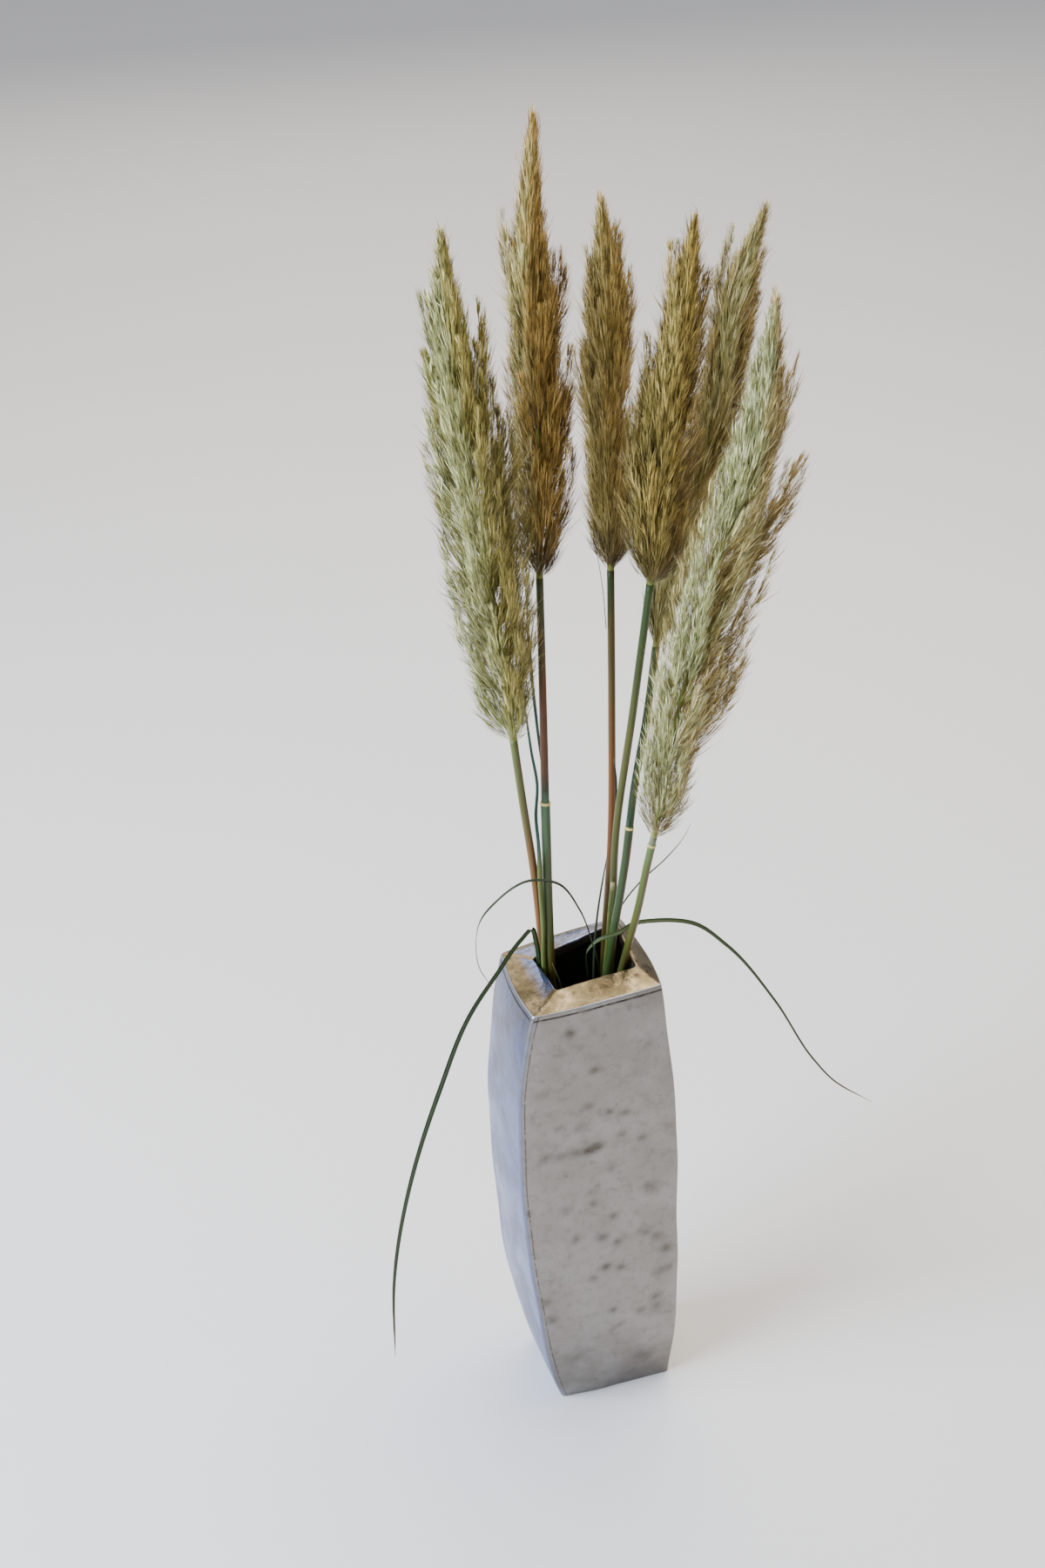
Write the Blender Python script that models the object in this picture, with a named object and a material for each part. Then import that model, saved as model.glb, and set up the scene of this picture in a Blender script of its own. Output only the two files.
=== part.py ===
# A hand-built four-sided vase holding six stems of pampas grass and their loose leaves.
# Metres, +Z up. The origin is the middle of the vase's foot, on the surface it stands on.
# The vase's broad front faces -Y and its narrow left side faces -X.

import math

import bmesh
import bpy
import numpy as np
from mathutils import Vector

GAP = 0.0003  # left between two pieces that touch

# ---- the vase ----
VASE_HEIGHT = 0.450
# Its sections at the foot, a quarter, half and three quarters of the way up, and at the rim.
HALF_WIDTH = (0.0512, 0.0644, 0.0690, 0.0681, 0.0555)
HALF_DEPTH = (0.0405, 0.0518, 0.0553, 0.0527, 0.0457)
CENTRE_X = (0.0, -0.0119, -0.0138, -0.0143, -0.0129)
CENTRE_Y = (0.0, -0.0037, 0.0019, 0.0020, 0.0)
TWIST = (-1.1, 1.8, -0.1, -1.6, 1.7)  # degrees, as the slabs were pressed together by hand
# At the rim the four corners are also pulled out of square: front left, front right, back right, back left.
RIM_PULL = ((-0.0003, -0.0038), (0.0002, 0.0006), (0.0006, 0.0110), (0.0011, -0.0022))
RIM_PULL_POWER = 3  # the pull fades away below the rim by this power of the height
VASE_WALL = 0.007
VASE_FLOOR = 0.010
SIDE_BOW = 0.0028  # how far each side bulges between its corners
CORNER_RADIUS = 0.0035
VASE_WAVE = 0.0007  # hand-made unevenness
LIP_RISE = 0.005  # the lid slopes up this far from the outer edge to the mouth
LID_THICKNESS = 0.008
LID_SHOULDER = 0.0064  # how far in from the edge the slope eases off
LID_SHOULDER_RISE = 0.35  # share of the lip's rise reached there
EDGE_ROUND = 0.0016
LIP_WIDTH = 0.0016
# The mouth is a four-sided hole off the middle of the lid: front left, front right, back right, back left.
MOUTH = ((-0.0410, -0.0285), (0.0290, -0.0200), (0.0340, 0.0450), (-0.0470, 0.0185))
OUTER_RINGS = 21
INNER_RINGS = 10
SIDE_STEPS = 5

# ---- the stems: a foot on the vase's floor, where they pass the mouth, and on up to the plume ----
STEM_SIDES = 8
STEM_RINGS = 15
STEP_AT_NODE = 0.4  # how much of its taper a stem still has above its node
NODE_SWELL = 1.16
NODE_HALF = 0.0030
STEMS = {
    "stem_1": {
        "route": ((-0.026, 0.022), (-0.0385, 0.0163, 0.455), (-0.044, 0.0135, 0.541),
                  (-0.052, 0.009, 0.613), (-0.059, 0.003, 0.676)),
        "radius": (0.0033, 0.0031),
        "node": None,
    },
    "stem_2": {
        "route": ((-0.026, -0.002), (-0.0345, 0.0095, 0.455), (-0.033, 0.012, 0.608),
                  (-0.032, 0.012, 0.692), (-0.031, 0.012, 0.805)),
        "radius": (0.0038, 0.0028),
        "node": 0.608,
    },
    "stem_3": {
        "route": ((0.012, 0.028), (0.018, 0.026, 0.455), (0.024, 0.022, 0.559),
                  (0.028, 0.027, 0.672), (0.032, 0.036, 0.789)),
        "radius": (0.0031, 0.0029),
        "node": None,
    },
    "stem_4": {
        "route": ((0.000, 0.018), (0.022, 0.0165, 0.455), (0.023, 0.008, 0.562),
                  (0.034, -0.008, 0.690), (0.046, -0.015, 0.799)),
        "radius": (0.0030, 0.0030),
        "node": None,
    },
    "stem_5": {
        "route": ((-0.006, -0.002), (0.014, 0.000, 0.455), (0.0265, -0.008, 0.556),
                  (0.0365, -0.002, 0.618), (0.050, 0.008, 0.670), (0.063, 0.022, 0.724)),
        "radius": (0.0034, 0.0030),
        "node": 0.582,
    },
    "stem_6": {
        "route": ((0.002, 0.027), (0.005, 0.030, 0.290), (0.0235, -0.008, 0.455), (0.030, -0.023, 0.510),
                  (0.034, -0.043, 0.577), (0.036, -0.049, 0.599)),
        "radius": (0.0031, 0.0026),
        "node": 0.590,
    },
}

# ---- the plumes: each grows on the top of the stem of its number ----
LOCKS_AROUND = 6
LOCK_ROWS = 7
LOCK_DEPTH = 0.24  # how deep the dips between two locks are, as a share of the radius
PLUME_FRACTIONS = (0.0, 0.10, 0.20, 0.34, 0.50, 0.65, 0.80, 0.90, 0.96, 1.0)
PLUME_SHAPE = (0.12, 0.48, 0.78, 1.0, 0.94, 0.82, 0.55, 0.33, 0.18, 0.02)
LOCK_PHASES = (0.02, 0.48, 0.52, 0.98)  # where a row of locks has its outlines, from its roots to its tips
LOCK_TIP = 0.0005
PLUME_NECK = 0.012  # a plume goes on straight from its stem for this far
SPIRE_RADIUS = 0.0060
SPIRE_SIDES = 5
SPIRE_SHAPE = ((0.0, 0.6), (0.35, 1.0), (0.7, 0.62), (1.0, LOCK_TIP / SPIRE_RADIUS))
SPIRE_ROOT = 0.26  # how far below its tip a side lock leaves the axis, as a share of the plume
SPIRE_LOWEST = 0.05
PLUMES = {
    "plume_1": {
        "route": ((-0.076, -0.013, 0.827), (-0.088, -0.021, 0.920), (-0.096, -0.027, 1.005),
                  (-0.102, -0.032, 1.090)),
        "radius": 0.0355,
        "spires": ((-0.114, -0.019, 1.044), (-0.078, -0.028, 1.039), (-0.108, 0.004, 0.995)),
    },
    "plume_2": {
        "route": ((-0.027, 0.015, 0.889), (-0.026, 0.020, 0.960), (-0.026, 0.025, 1.034),
                  (-0.018, 0.033, 1.141)),
        "radius": 0.0270,
        "spires": ((-0.040, 0.034, 1.077), (-0.006, 0.020, 1.049), (-0.004, 0.014, 0.981),
                   (-0.022, 0.052, 1.030)),
    },
    "plume_3": {
        "route": ((0.033, 0.040, 0.862), (0.037, 0.047, 0.941), (0.038, 0.053, 0.997),
                  (0.037, 0.060, 1.070)),
        "radius": 0.0220,
        "spires": ((0.026, 0.059, 1.034), (0.046, 0.056, 1.051), (0.054, 0.051, 1.019),
                   (0.014, 0.055, 0.965)),
    },
    "plume_4": {
        "route": ((0.052, -0.016, 0.876), (0.061, -0.019, 0.942), (0.069, -0.021, 1.005),
                  (0.077, -0.023, 1.074)),
        "radius": 0.0280,
        "spires": ((0.062, -0.019, 1.057), (0.085, -0.025, 1.037), (0.048, -0.016, 0.991),
                   (0.038, -0.013, 0.950)),
    },
    "plume_5": {
        "route": ((0.088, 0.031, 0.814), (0.117, 0.039, 0.898), (0.134, 0.050, 0.973),
                  (0.161, 0.058, 1.049)),
        "radius": 0.0205,
        "spires": ((0.138, 0.059, 1.036), (0.158, 0.053, 1.018), (0.152, 0.050, 0.987)),
    },
    "plume_6": {
        "route": ((0.047, -0.072, 0.719), (0.065, -0.098, 0.842), (0.086, -0.124, 0.960),
                  (0.089, -0.140, 1.060)),
        "radius": 0.0310,
        "spires": ((0.106, -0.134, 1.012), (0.119, -0.128, 0.938), (0.101, -0.118, 0.866),
                   (0.091, -0.105, 0.800), (0.080, -0.127, 1.005)),
    },
}

# ---- the leaves: each starts against a stem, at a height and a compass angle round it ----
LEAF_THICKNESS = 0.0009
TIP_THINNING = 0.4  # share of its thickness that a leaf loses by its tip
SHEATH_SIDES = 6
SHEATH_OPENING = 0.02  # a round sheath turns into a flat blade over this height
CLASP_SHARE = 0.08  # share of its length over which a leaf clasps its stem
BLADE_FRACTIONS = (0.0, 0.15, 0.5, 0.8, 0.94, 1.0)
BLADE_SHAPE = (0.50, 0.84, 1.0, 0.72, 0.40, 0.12)
LEAVES = {
    "leaf_long_left": {
        "on": ("stem_1", 0.370, 200),
        "route": ((-0.0430, 0.0122, 0.455), (-0.0455, 0.011, 0.477), (-0.049, 0.010, 0.491),
                  (-0.060, 0.008, 0.483), (-0.081, 0.004, 0.459), (-0.105, 0.000, 0.429),
                  (-0.138, -0.002, 0.354), (-0.167, -0.004, 0.271), (-0.191, -0.004, 0.155),
                  (-0.197, -0.007, 0.066)),
        "width": 0.0060, "across": (0.45, 0.89, 0.0), "rings": 71,
    },
    "leaf_long_right": {
        "on": ("stem_5", 0.340, 180),
        "route": ((-0.006, -0.001, 0.441), (-0.006, -0.010, 0.476), (0.000, -0.0125, 0.483),
                  (0.017, -0.013, 0.487), (0.034, -0.005, 0.487), (0.051, -0.004, 0.485),
                  (0.084, -0.004, 0.475), (0.115, -0.002, 0.444), (0.160, -0.004, 0.375),
                  (0.196, -0.009, 0.305), (0.215, -0.011, 0.278), (0.250, -0.018, 0.249)),
        "width": 0.0040, "across": (0.10, 0.99, 0.0), "rings": 38,
    },
    "leaf_loop": {
        "on": ("stem_5", 0.380, 275),
        "route": ((0.002, -0.007, 0.452), (-0.006, -0.019, 0.484), (-0.016, -0.017, 0.521),
                  (-0.032, -0.013, 0.547), (-0.055, -0.010, 0.553), (-0.083, -0.011, 0.540),
                  (-0.099, -0.017, 0.527), (-0.103, -0.021, 0.516), (-0.105, -0.031, 0.497),
                  (-0.095, -0.039, 0.475)),
        "width": 0.0024, "across": (0.10, 0.99, 0.0), "rings": 34,
    },
    "leaf_back_right": {
        "on": ("stem_3", 0.405, 45),
        "route": ((0.026, 0.033, 0.452), (0.034, 0.035, 0.473), (0.051, 0.032, 0.499),
                  (0.076, 0.031, 0.521), (0.091, 0.030, 0.540), (0.095, 0.030, 0.549)),
        "width": 0.0022, "across": (0.0, 1.0, 0.0), "rings": 16,
    },
    "leaf_upright": {
        "on": ("stem_5", 0.360, 135),
        "route": ((0.002, 0.008, 0.440), (0.004, 0.009, 0.468), (0.010, 0.013, 0.504),
                  (0.022, 0.029, 0.532), (0.026, 0.031, 0.548)),
        "width": 0.0022, "across": (0.8, -0.6, 0.0), "rings": 16,
    },
    "leaf_sheathed": {
        "on": ("stem_2", 0.395, 215),
        "route": ((-0.0406, 0.0080, 0.465), (-0.040, 0.0075, 0.496), (-0.041, 0.0075, 0.535),
                  (-0.041, 0.008, 0.576), (-0.041, 0.012, 0.596), (-0.037, 0.019, 0.620),
                  (-0.040, 0.021, 0.650), (-0.046, 0.022, 0.721)),
        "width": 0.0034, "across": (1.0, 0.3, 0.0), "rings": 26,
        "sheath": (0.553, 0.0021),
    },
    "leaf_stem_2": {
        "on": ("stem_2", 0.640, 100),
        "route": ((-0.0355, 0.0180, 0.675), (-0.038, 0.018, 0.715), (-0.039, 0.020, 0.755),
                  (-0.038, 0.021, 0.829)),
        "width": 0.0030, "across": (1.0, 0.2, 0.0), "rings": 13,
    },
    "leaf_stem_3": {
        "on": ("stem_3", 0.742, 190),
        "route": ((0.0245, 0.034, 0.777), (0.022, 0.038, 0.804)),
        "width": 0.0016, "across": (0.3, 1.0, 0.0), "rings": 7,
    },
    "leaf_stem_4": {
        "on": ("stem_4", 0.596, 100),
        "route": ((0.0255, 0.011, 0.615), (0.0245, 0.013, 0.637)),
        "width": 0.0022, "across": (1.0, 0.2, 0.0), "rings": 7,
    },
    "leaf_stem_5": {
        "on": ("stem_5", 0.586, 230),
        "route": ((0.034, -0.009, 0.632), (0.0455, 0.000, 0.675), (0.059, 0.013, 0.719)),
        "width": 0.0029, "across": (0.9, 0.4, 0.0), "rings": 15,
    },
    "leaf_curl": {
        "on": ("stem_4", 0.425, 10),
        "route": ((0.0280, 0.0110, 0.466), (0.0290, 0.0020, 0.475), (0.0305, -0.0050, 0.471)),
        "width": 0.0018, "across": (1.0, 0.0, 0.3), "rings": 10,
    },
    "leaf_inside": {
        "on": ("stem_2", 0.360, 300),
        "route": ((-0.0290, -0.0020, 0.410), (-0.0300, -0.0010, 0.440), (-0.0345, 0.0045, 0.457)),
        "width": 0.0036, "across": (0.7, 0.7, 0.0), "rings": 10,
    },
    "sheath_cut": {
        "on": ("stem_5", 0.400, 95),
        "route": ((0.0150, 0.0075, 0.470), (0.0165, 0.006, 0.494), (0.019, 0.005, 0.524)),
        "width": 0.0030, "across": (1.0, 0.3, 0.0), "rings": 10,
        "sheath": (0.600, 0.0019),
    },
}

# ---- finishes: base colour, roughness, metallic ----
FINISHES = {
    "silver_lustre": ((0.42, 0.41, 0.40), 0.34, 0.85),
    "stem_green": ((0.16, 0.20, 0.06), 0.50, 0.0),
    "leaf_green": ((0.07, 0.11, 0.05), 0.50, 0.0),
    "plume_straw": ((0.46, 0.38, 0.22), 0.85, 0.0),
}


def clear_scene():
    for item in list(bpy.data.objects):
        bpy.data.objects.remove(item, do_unlink=True)


def finish(name):
    material = bpy.data.materials.get(name)
    if material is None:
        colour, roughness, metallic = FINISHES[name]
        material = bpy.data.materials.new(name)
        material.use_nodes = True
        shader = material.node_tree.nodes["Principled BSDF"]
        shader.inputs["Base Color"].default_value = (*colour, 1.0)
        shader.inputs["Roughness"].default_value = roughness
        shader.inputs["Metallic"].default_value = metallic
    return material


def object_from_rings(name, rings, material):
    """One closed solid from a stack of outlines with equally many points, its two ends capped."""
    mesh = bpy.data.meshes.new(name)
    shape = bmesh.new()
    rows = [[shape.verts.new(point) for point in ring] for ring in rings]
    count = len(rows[0])
    for low, high in zip(rows, rows[1:]):
        for i in range(count):
            j = (i + 1) % count
            shape.faces.new((low[i], low[j], high[j], high[i]))
    shape.faces.new(list(reversed(rows[0])))
    shape.faces.new(rows[-1])
    shape.to_mesh(mesh)
    shape.free()
    mesh.shade_smooth()
    mesh.set_sharp_from_angle(angle=math.radians(40))
    mesh.materials.append(finish(material))
    item = bpy.data.objects.new(name, mesh)
    bpy.context.scene.collection.objects.link(item)
    return item


# ---- the vase ----


def outline(corners, radius, bow):
    """A four-cornered outline with rounded corners and sides that bulge by bow."""
    points = []
    for k in range(4):
        start = np.array(corners[k])
        end = np.array(corners[(k + 1) % 4])
        after = np.array(corners[(k + 2) % 4])
        along = (end - start) / np.linalg.norm(end - start)
        turn = (after - end) / np.linalg.norm(after - end)
        outward = np.array((along[1], -along[0]))
        first = start + along * radius
        last = end - along * radius
        for step in range(SIDE_STEPS):
            share = step / (SIDE_STEPS - 1)
            bulge = bow * (1 - (2 * share - 1) ** 2)
            points.append(first + (last - first) * share + outward * bulge)
        points.append(end + (turn - along) * radius * (math.sqrt(2) - 1) / math.sqrt(2))
    return points


def corners_at(share, inset):
    """The vase's four corners at a share of its height, moved in by the inset."""
    heights = np.linspace(0.0, 1.0, len(HALF_WIDTH))

    def between(stations):
        return np.polyval(np.polyfit(heights, stations, len(stations) - 1), share)

    width = between(HALF_WIDTH) - inset
    depth = between(HALF_DEPTH) - inset
    x, y = between(CENTRE_X), between(CENTRE_Y)
    turn = math.radians(between(TWIST))
    c, s = math.cos(turn), math.sin(turn)
    corners = []
    for (i, j), pull in zip(((-1, -1), (1, -1), (1, 1), (-1, 1)), RIM_PULL):
        across, back = i * width, j * depth
        fade = share**RIM_PULL_POWER
        corners.append((x + c * across - s * back + pull[0] * fade,
                        y + s * across + c * back + pull[1] * fade))
    return corners


def side_bow(share):
    """The sides bulge half as much at the foot as at the rim."""
    return SIDE_BOW * (0.5 + 0.5 * math.sin(math.pi * share / 2))


def wave(z, angle):
    return VASE_WAVE * (math.sin(31 * z + 2 * angle) + 0.6 * math.sin(67 * z - 3 * angle + 1.0))


def level(points, z, waved=True):
    ring = []
    for x, y in points:
        angle = math.atan2(y, x)
        push = wave(z, angle) if waved else 0.0
        ring.append((x + push * math.cos(angle), y + push * math.sin(angle), z))
    return ring


def make_vase():
    rings = []
    body = VASE_HEIGHT - EDGE_ROUND
    foot = outline(corners_at(0.0, EDGE_ROUND), CORNER_RADIUS, side_bow(0.0))
    rings.append(level(foot, 0.0, False))
    for step in range(OUTER_RINGS):
        share = step / (OUTER_RINGS - 1)
        z = EDGE_ROUND + share * (body - EDGE_ROUND)
        rings.append(level(outline(corners_at(z / VASE_HEIGHT, 0.0), CORNER_RADIUS, side_bow(share)), z))
    lid_edge = outline(corners_at(1.0, EDGE_ROUND), CORNER_RADIUS, SIDE_BOW)
    lid_middle = outline(corners_at(1.0, LID_SHOULDER), CORNER_RADIUS, SIDE_BOW)
    rings.append(level(lid_edge, VASE_HEIGHT))
    rings.append(level(lid_middle, VASE_HEIGHT + LIP_RISE * LID_SHOULDER_RISE))
    mouth = outline(MOUTH, CORNER_RADIUS, -EDGE_ROUND / 2)
    middle = np.mean(MOUTH, axis=0)
    wider = [middle + (point - middle) * (1 + LIP_WIDTH / np.linalg.norm(point - middle)) for point in mouth]
    rings.append(level(wider, VASE_HEIGHT + LIP_RISE, False))
    rings.append(level(mouth, VASE_HEIGHT + LIP_RISE - EDGE_ROUND, False))
    rings.append(level(mouth, VASE_HEIGHT + LIP_RISE - LID_THICKNESS, False))
    under_lid = VASE_HEIGHT - LID_THICKNESS
    for step in range(INNER_RINGS):
        share = 1 - step / (INNER_RINGS - 1)
        z = VASE_FLOOR + share * (under_lid - VASE_FLOOR)
        inner = outline(corners_at(z / VASE_HEIGHT, VASE_WALL), CORNER_RADIUS, side_bow(share))
        rings.append(level(inner, z, False))
    return object_from_rings("vase", rings, "silver_lustre")


# ---- curves that the stems, plumes and leaves follow ----


class Path:
    """A smooth curve through a few points, read by a share of its length."""

    def __init__(self, points):
        self.points = np.array(points, float)
        steps = np.linalg.norm(np.diff(self.points, axis=0), axis=1)
        self.knots = np.concatenate([[0.0], np.cumsum(steps)])
        self.length = self.knots[-1]
        self.slopes = np.gradient(self.points, self.knots, axis=0)

    def at(self, share):
        s = min(max(share, 0.0), 1.0) * self.length
        i = min(int(np.searchsorted(self.knots, s, side="right")) - 1, len(self.points) - 2)
        span = self.knots[i + 1] - self.knots[i]
        u = (s - self.knots[i]) / span
        start = (1 + 2 * u) * (1 - u) ** 2 * self.points[i] + u * (1 - u) ** 2 * span * self.slopes[i]
        end = u * u * (3 - 2 * u) * self.points[i + 1] - u * u * (1 - u) * span * self.slopes[i + 1]
        return start + end

    def direction(self, share):
        step = 0.002
        ahead = self.at(share + step) - self.at(share - step)
        return ahead / np.linalg.norm(ahead)

    def share_at_height(self, z):
        """The share of the length at which a rising curve reaches the height z."""
        low, high = 0.0, 1.0
        for _ in range(40):
            middle = (low + high) / 2
            if self.at(middle)[2] < z:
                low = middle
            else:
                high = middle
        return (low + high) / 2


def ring_across(path, share, across, offsets):
    """An outline of (side, up) offsets, set square across the curve."""
    forward = path.direction(share)
    side = np.array(across, float)
    side = side - forward * side.dot(forward)
    side = side / np.linalg.norm(side)
    up = np.cross(forward, side)
    return [path.at(share) + side * u + up * v for u, v in offsets]


def circle(radius, sides):
    turns = [2 * math.pi * i / sides for i in range(sides)]
    return [(radius * math.cos(a), radius * math.sin(a)) for a in turns]


# ---- stems ----


def stem_path(name):
    foot = STEMS[name]["route"][0]
    return Path(((*foot, VASE_FLOOR + GAP * 2), *STEMS[name]["route"][1:]))


def stem_radius(name, z):
    low, top = STEMS[name]["radius"]
    node = STEMS[name]["node"]
    peak = STEMS[name]["route"][-1][2]
    if node is None:
        return low + (top - low) * z / peak
    if z <= node:
        return low
    above = top + (low - top) * STEP_AT_NODE
    return above + (top - above) * (z - node) / (peak - node)


def make_stem(name):
    path = stem_path(name)
    shares = [i / (STEM_RINGS - 1) for i in range(STEM_RINGS)]
    sizes = [stem_radius(name, path.at(share)[2]) for share in shares]
    node = STEMS[name]["node"]
    if node is not None:
        centre = path.share_at_height(node)
        half = NODE_HALF / path.length
        low = stem_radius(name, node)
        marks = [(centre - half, low), (centre - half / 3, low * NODE_SWELL),
                 (centre + half / 3, low * NODE_SWELL), (centre + half, stem_radius(name, node + NODE_HALF))]
        plain = [(s, r) for s, r in zip(shares, sizes) if abs(s - centre) > 2 * half]
        shares, sizes = zip(*sorted(plain + marks))
    rings = []
    for share, radius in zip(shares, sizes):
        rings.append(ring_across(path, share, (1.0, 0.0, 0.0), circle(radius, STEM_SIDES)))
    return object_from_rings(name, rings, "stem_green")


# ---- plumes ----


def plume_path(name):
    stem = stem_path(name.replace("plume", "stem"))
    start = stem.at(1.0) + stem.direction(1.0) * GAP
    rise = start + stem.direction(1.0) * PLUME_NECK
    return Path((start, rise, *PLUMES[name]["route"]))


def plume_ring(radius, phase):
    """A star of lock backs and the dips between them; every other column is half a row further on."""
    columns = LOCKS_AROUND * 2
    offsets = []
    for k in range(columns):
        turn = 2 * math.pi * k / columns
        grown = (phase + 0.5 * (k // 2 % 2)) % 1.0
        lift = grown if k % 2 == 0 else 0.0
        size = radius * (1 - LOCK_DEPTH * (1 - lift))
        offsets.append((size * math.cos(turn), size * math.sin(turn)))
    return offsets


def make_plume(name):
    path = plume_path(name)
    radius = PLUMES[name]["radius"]
    stem_top = STEMS[name.replace("plume", "stem")]["radius"][1]
    rings = [ring_across(path, 0.0, (1.0, 0.0, 0.0), circle(stem_top, LOCKS_AROUND * 2))]
    for row in range(LOCK_ROWS):
        for phase in LOCK_PHASES:
            share = (row + phase) / LOCK_ROWS
            size = radius * np.interp(share, PLUME_FRACTIONS, PLUME_SHAPE)
            size = max(size, stem_top) if row == 0 else size
            rings.append(ring_across(path, share, (1.0, 0.0, 0.0), plume_ring(size, phase)))
    rings.append(ring_across(path, 1.0, (1.0, 0.0, 0.0), circle(LOCK_TIP, LOCKS_AROUND * 2)))
    plume = object_from_rings(name, rings, "plume_straw")
    for number, tip in enumerate(PLUMES[name]["spires"]):
        add_spire(plume, path, tip, number)
    return plume


def add_spire(plume, path, tip, number):
    """A lock that stands out to the side of the plume, joined to it."""
    root = path.at(max(path.share_at_height(tip[2]) - SPIRE_ROOT, SPIRE_LOWEST))
    middle = (root + np.array(tip)) / 2 + path.direction(0.5) * SPIRE_RADIUS
    curve = Path((root, middle, tip))
    rings = []
    for share, size in SPIRE_SHAPE:
        offsets = circle(SPIRE_RADIUS * size, SPIRE_SIDES)
        rings.append(ring_across(curve, share, (1.0, 0.0, 0.0), offsets))
    spire = object_from_rings(f"{plume.name}_spire_{number}", rings, "plume_straw")
    spire.hide_render = True
    spire.display_type = "WIRE"
    union = plume.modifiers.new(f"spire_{number}", "BOOLEAN")
    union.operation = "UNION"
    union.solver = "EXACT"
    union.object = spire


# ---- leaves ----


def leaf_path(name):
    """The leaf's curve, from the side of the stem that carries it."""
    leaf = LEAVES[name]
    stem, z, compass = leaf["on"]
    carrier = stem_path(stem)
    centre = carrier.at(carrier.share_at_height(z))
    half = leaf["sheath"][1] if "sheath" in leaf else LEAF_THICKNESS
    reach = stem_radius(stem, z) + half + GAP * 2
    angle = math.radians(compass)
    start = centre + reach * np.array((math.cos(angle), math.sin(angle), 0.0))
    return Path((start, *leaf["route"]))


def leaf_offsets(leaf, share, z):
    """A flat blade, or a round sheath below the height where the blade begins."""
    width = leaf["width"] * np.interp(share, BLADE_FRACTIONS, BLADE_SHAPE)
    thickness = LEAF_THICKNESS * (1.0 - TIP_THINNING * share)
    if "sheath" not in leaf:
        return [(-width / 2, 0.0), (0.0, -thickness / 2), (width / 2, 0.0), (0.0, thickness / 2)]
    top, radius = leaf["sheath"]
    blend = min(max((z - top) / SHEATH_OPENING, 0.0), 1.0)
    side = radius + (width / 2 - radius) * blend
    up = radius + (thickness / 2 - radius) * blend
    return [(side * u, up * v) for u, v in circle(1.0, SHEATH_SIDES)]


def leaf_across(leaf, share):
    """A leaf clasps its stem at first, and turns to its own way of facing."""
    angle = math.radians(leaf["on"][2] + 90)
    clasping = np.array((math.cos(angle), math.sin(angle), 0.0))
    free = np.array(leaf["across"])
    if clasping.dot(free) < 0:
        clasping = -clasping
    turned = min(share / CLASP_SHARE, 1.0)
    return clasping + (free - clasping) * turned


def make_leaf(name):
    leaf = LEAVES[name]
    path = leaf_path(name)
    rings = []
    for i in range(leaf["rings"]):
        share = i / (leaf["rings"] - 1)
        offsets = leaf_offsets(leaf, share, path.at(share)[2])
        rings.append(ring_across(path, share, leaf_across(leaf, share), offsets))
    return object_from_rings(name, rings, "leaf_green")


def main():
    clear_scene()
    make_vase()
    for name in STEMS:
        make_stem(name)
    for name in PLUMES:
        make_plume(name)
    for name in LEAVES:
        make_leaf(name)


main()
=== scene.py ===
# A hand-built four-sided vase in a silvery lustre, holding six stems of pampas grass and their loose leaves.
# Metres, +Z up; the vase stands on z = 0 with its broad front towards -Y.
import math

import bpy
import numpy as np
from mathutils import Matrix, Vector, noise


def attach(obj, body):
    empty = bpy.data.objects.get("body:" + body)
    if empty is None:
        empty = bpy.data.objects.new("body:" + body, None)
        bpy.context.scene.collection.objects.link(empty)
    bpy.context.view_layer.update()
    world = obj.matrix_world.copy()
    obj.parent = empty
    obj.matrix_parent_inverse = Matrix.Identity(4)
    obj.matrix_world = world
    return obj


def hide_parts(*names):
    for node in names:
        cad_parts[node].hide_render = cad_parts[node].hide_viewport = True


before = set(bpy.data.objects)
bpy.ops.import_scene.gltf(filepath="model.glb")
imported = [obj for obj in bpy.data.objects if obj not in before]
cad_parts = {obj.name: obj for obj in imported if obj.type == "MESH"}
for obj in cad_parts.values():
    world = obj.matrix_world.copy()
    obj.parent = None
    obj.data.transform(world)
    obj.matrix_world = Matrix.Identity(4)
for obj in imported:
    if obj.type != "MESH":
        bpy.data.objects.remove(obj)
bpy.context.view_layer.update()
print("frame loaded:", len(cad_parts), "nodes")


def meshFrom(name, points, faces):
    # faces is a list of arrays, each with one row of corners per face
    mesh = bpy.data.meshes.new(name)
    mesh.vertices.add(len(points))
    mesh.vertices.foreach_set("co", np.asarray(points, np.float32).ravel())
    corners = np.concatenate([block.ravel() for block in faces])
    sizes = np.concatenate([np.full(len(block), block.shape[1]) for block in faces])
    starts = np.concatenate([[0], np.cumsum(sizes)[:-1]])
    mesh.loops.add(len(corners))
    mesh.loops.foreach_set("vertex_index", corners.astype(np.int32))
    mesh.polygons.add(len(sizes))
    mesh.polygons.foreach_set("loop_start", starts.astype(np.int32))
    mesh.update(calc_edges=True)
    return mesh


def paint(mesh, name, values):
    attribute = mesh.attributes.new(name, "FLOAT", "POINT")
    attribute.data.foreach_set("value", np.asarray(values, np.float32).ravel())


def stackFaces(rings, sides, first=0):
    # the quads between neighbouring rings of equally many points
    low = np.arange(rings - 1)[:, None] * sides + np.arange(sides)[None, :] + first
    turn = (np.arange(sides) + 1) % sides - np.arange(sides)
    return np.stack([low, low + turn, low + turn + sides, low + sides], axis=-1).reshape(-1, 4)


def solidFrom(name, rings):
    # one closed body from a stack of rings, with both ends capped
    count, sides = rings.shape[:2]
    faces = [stackFaces(count, sides), np.arange(sides)[::-1][None, :],
             (np.arange(sides) + (count - 1) * sides)[None, :]]
    return meshFrom(name, rings.reshape(-1, 3), faces)


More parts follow.
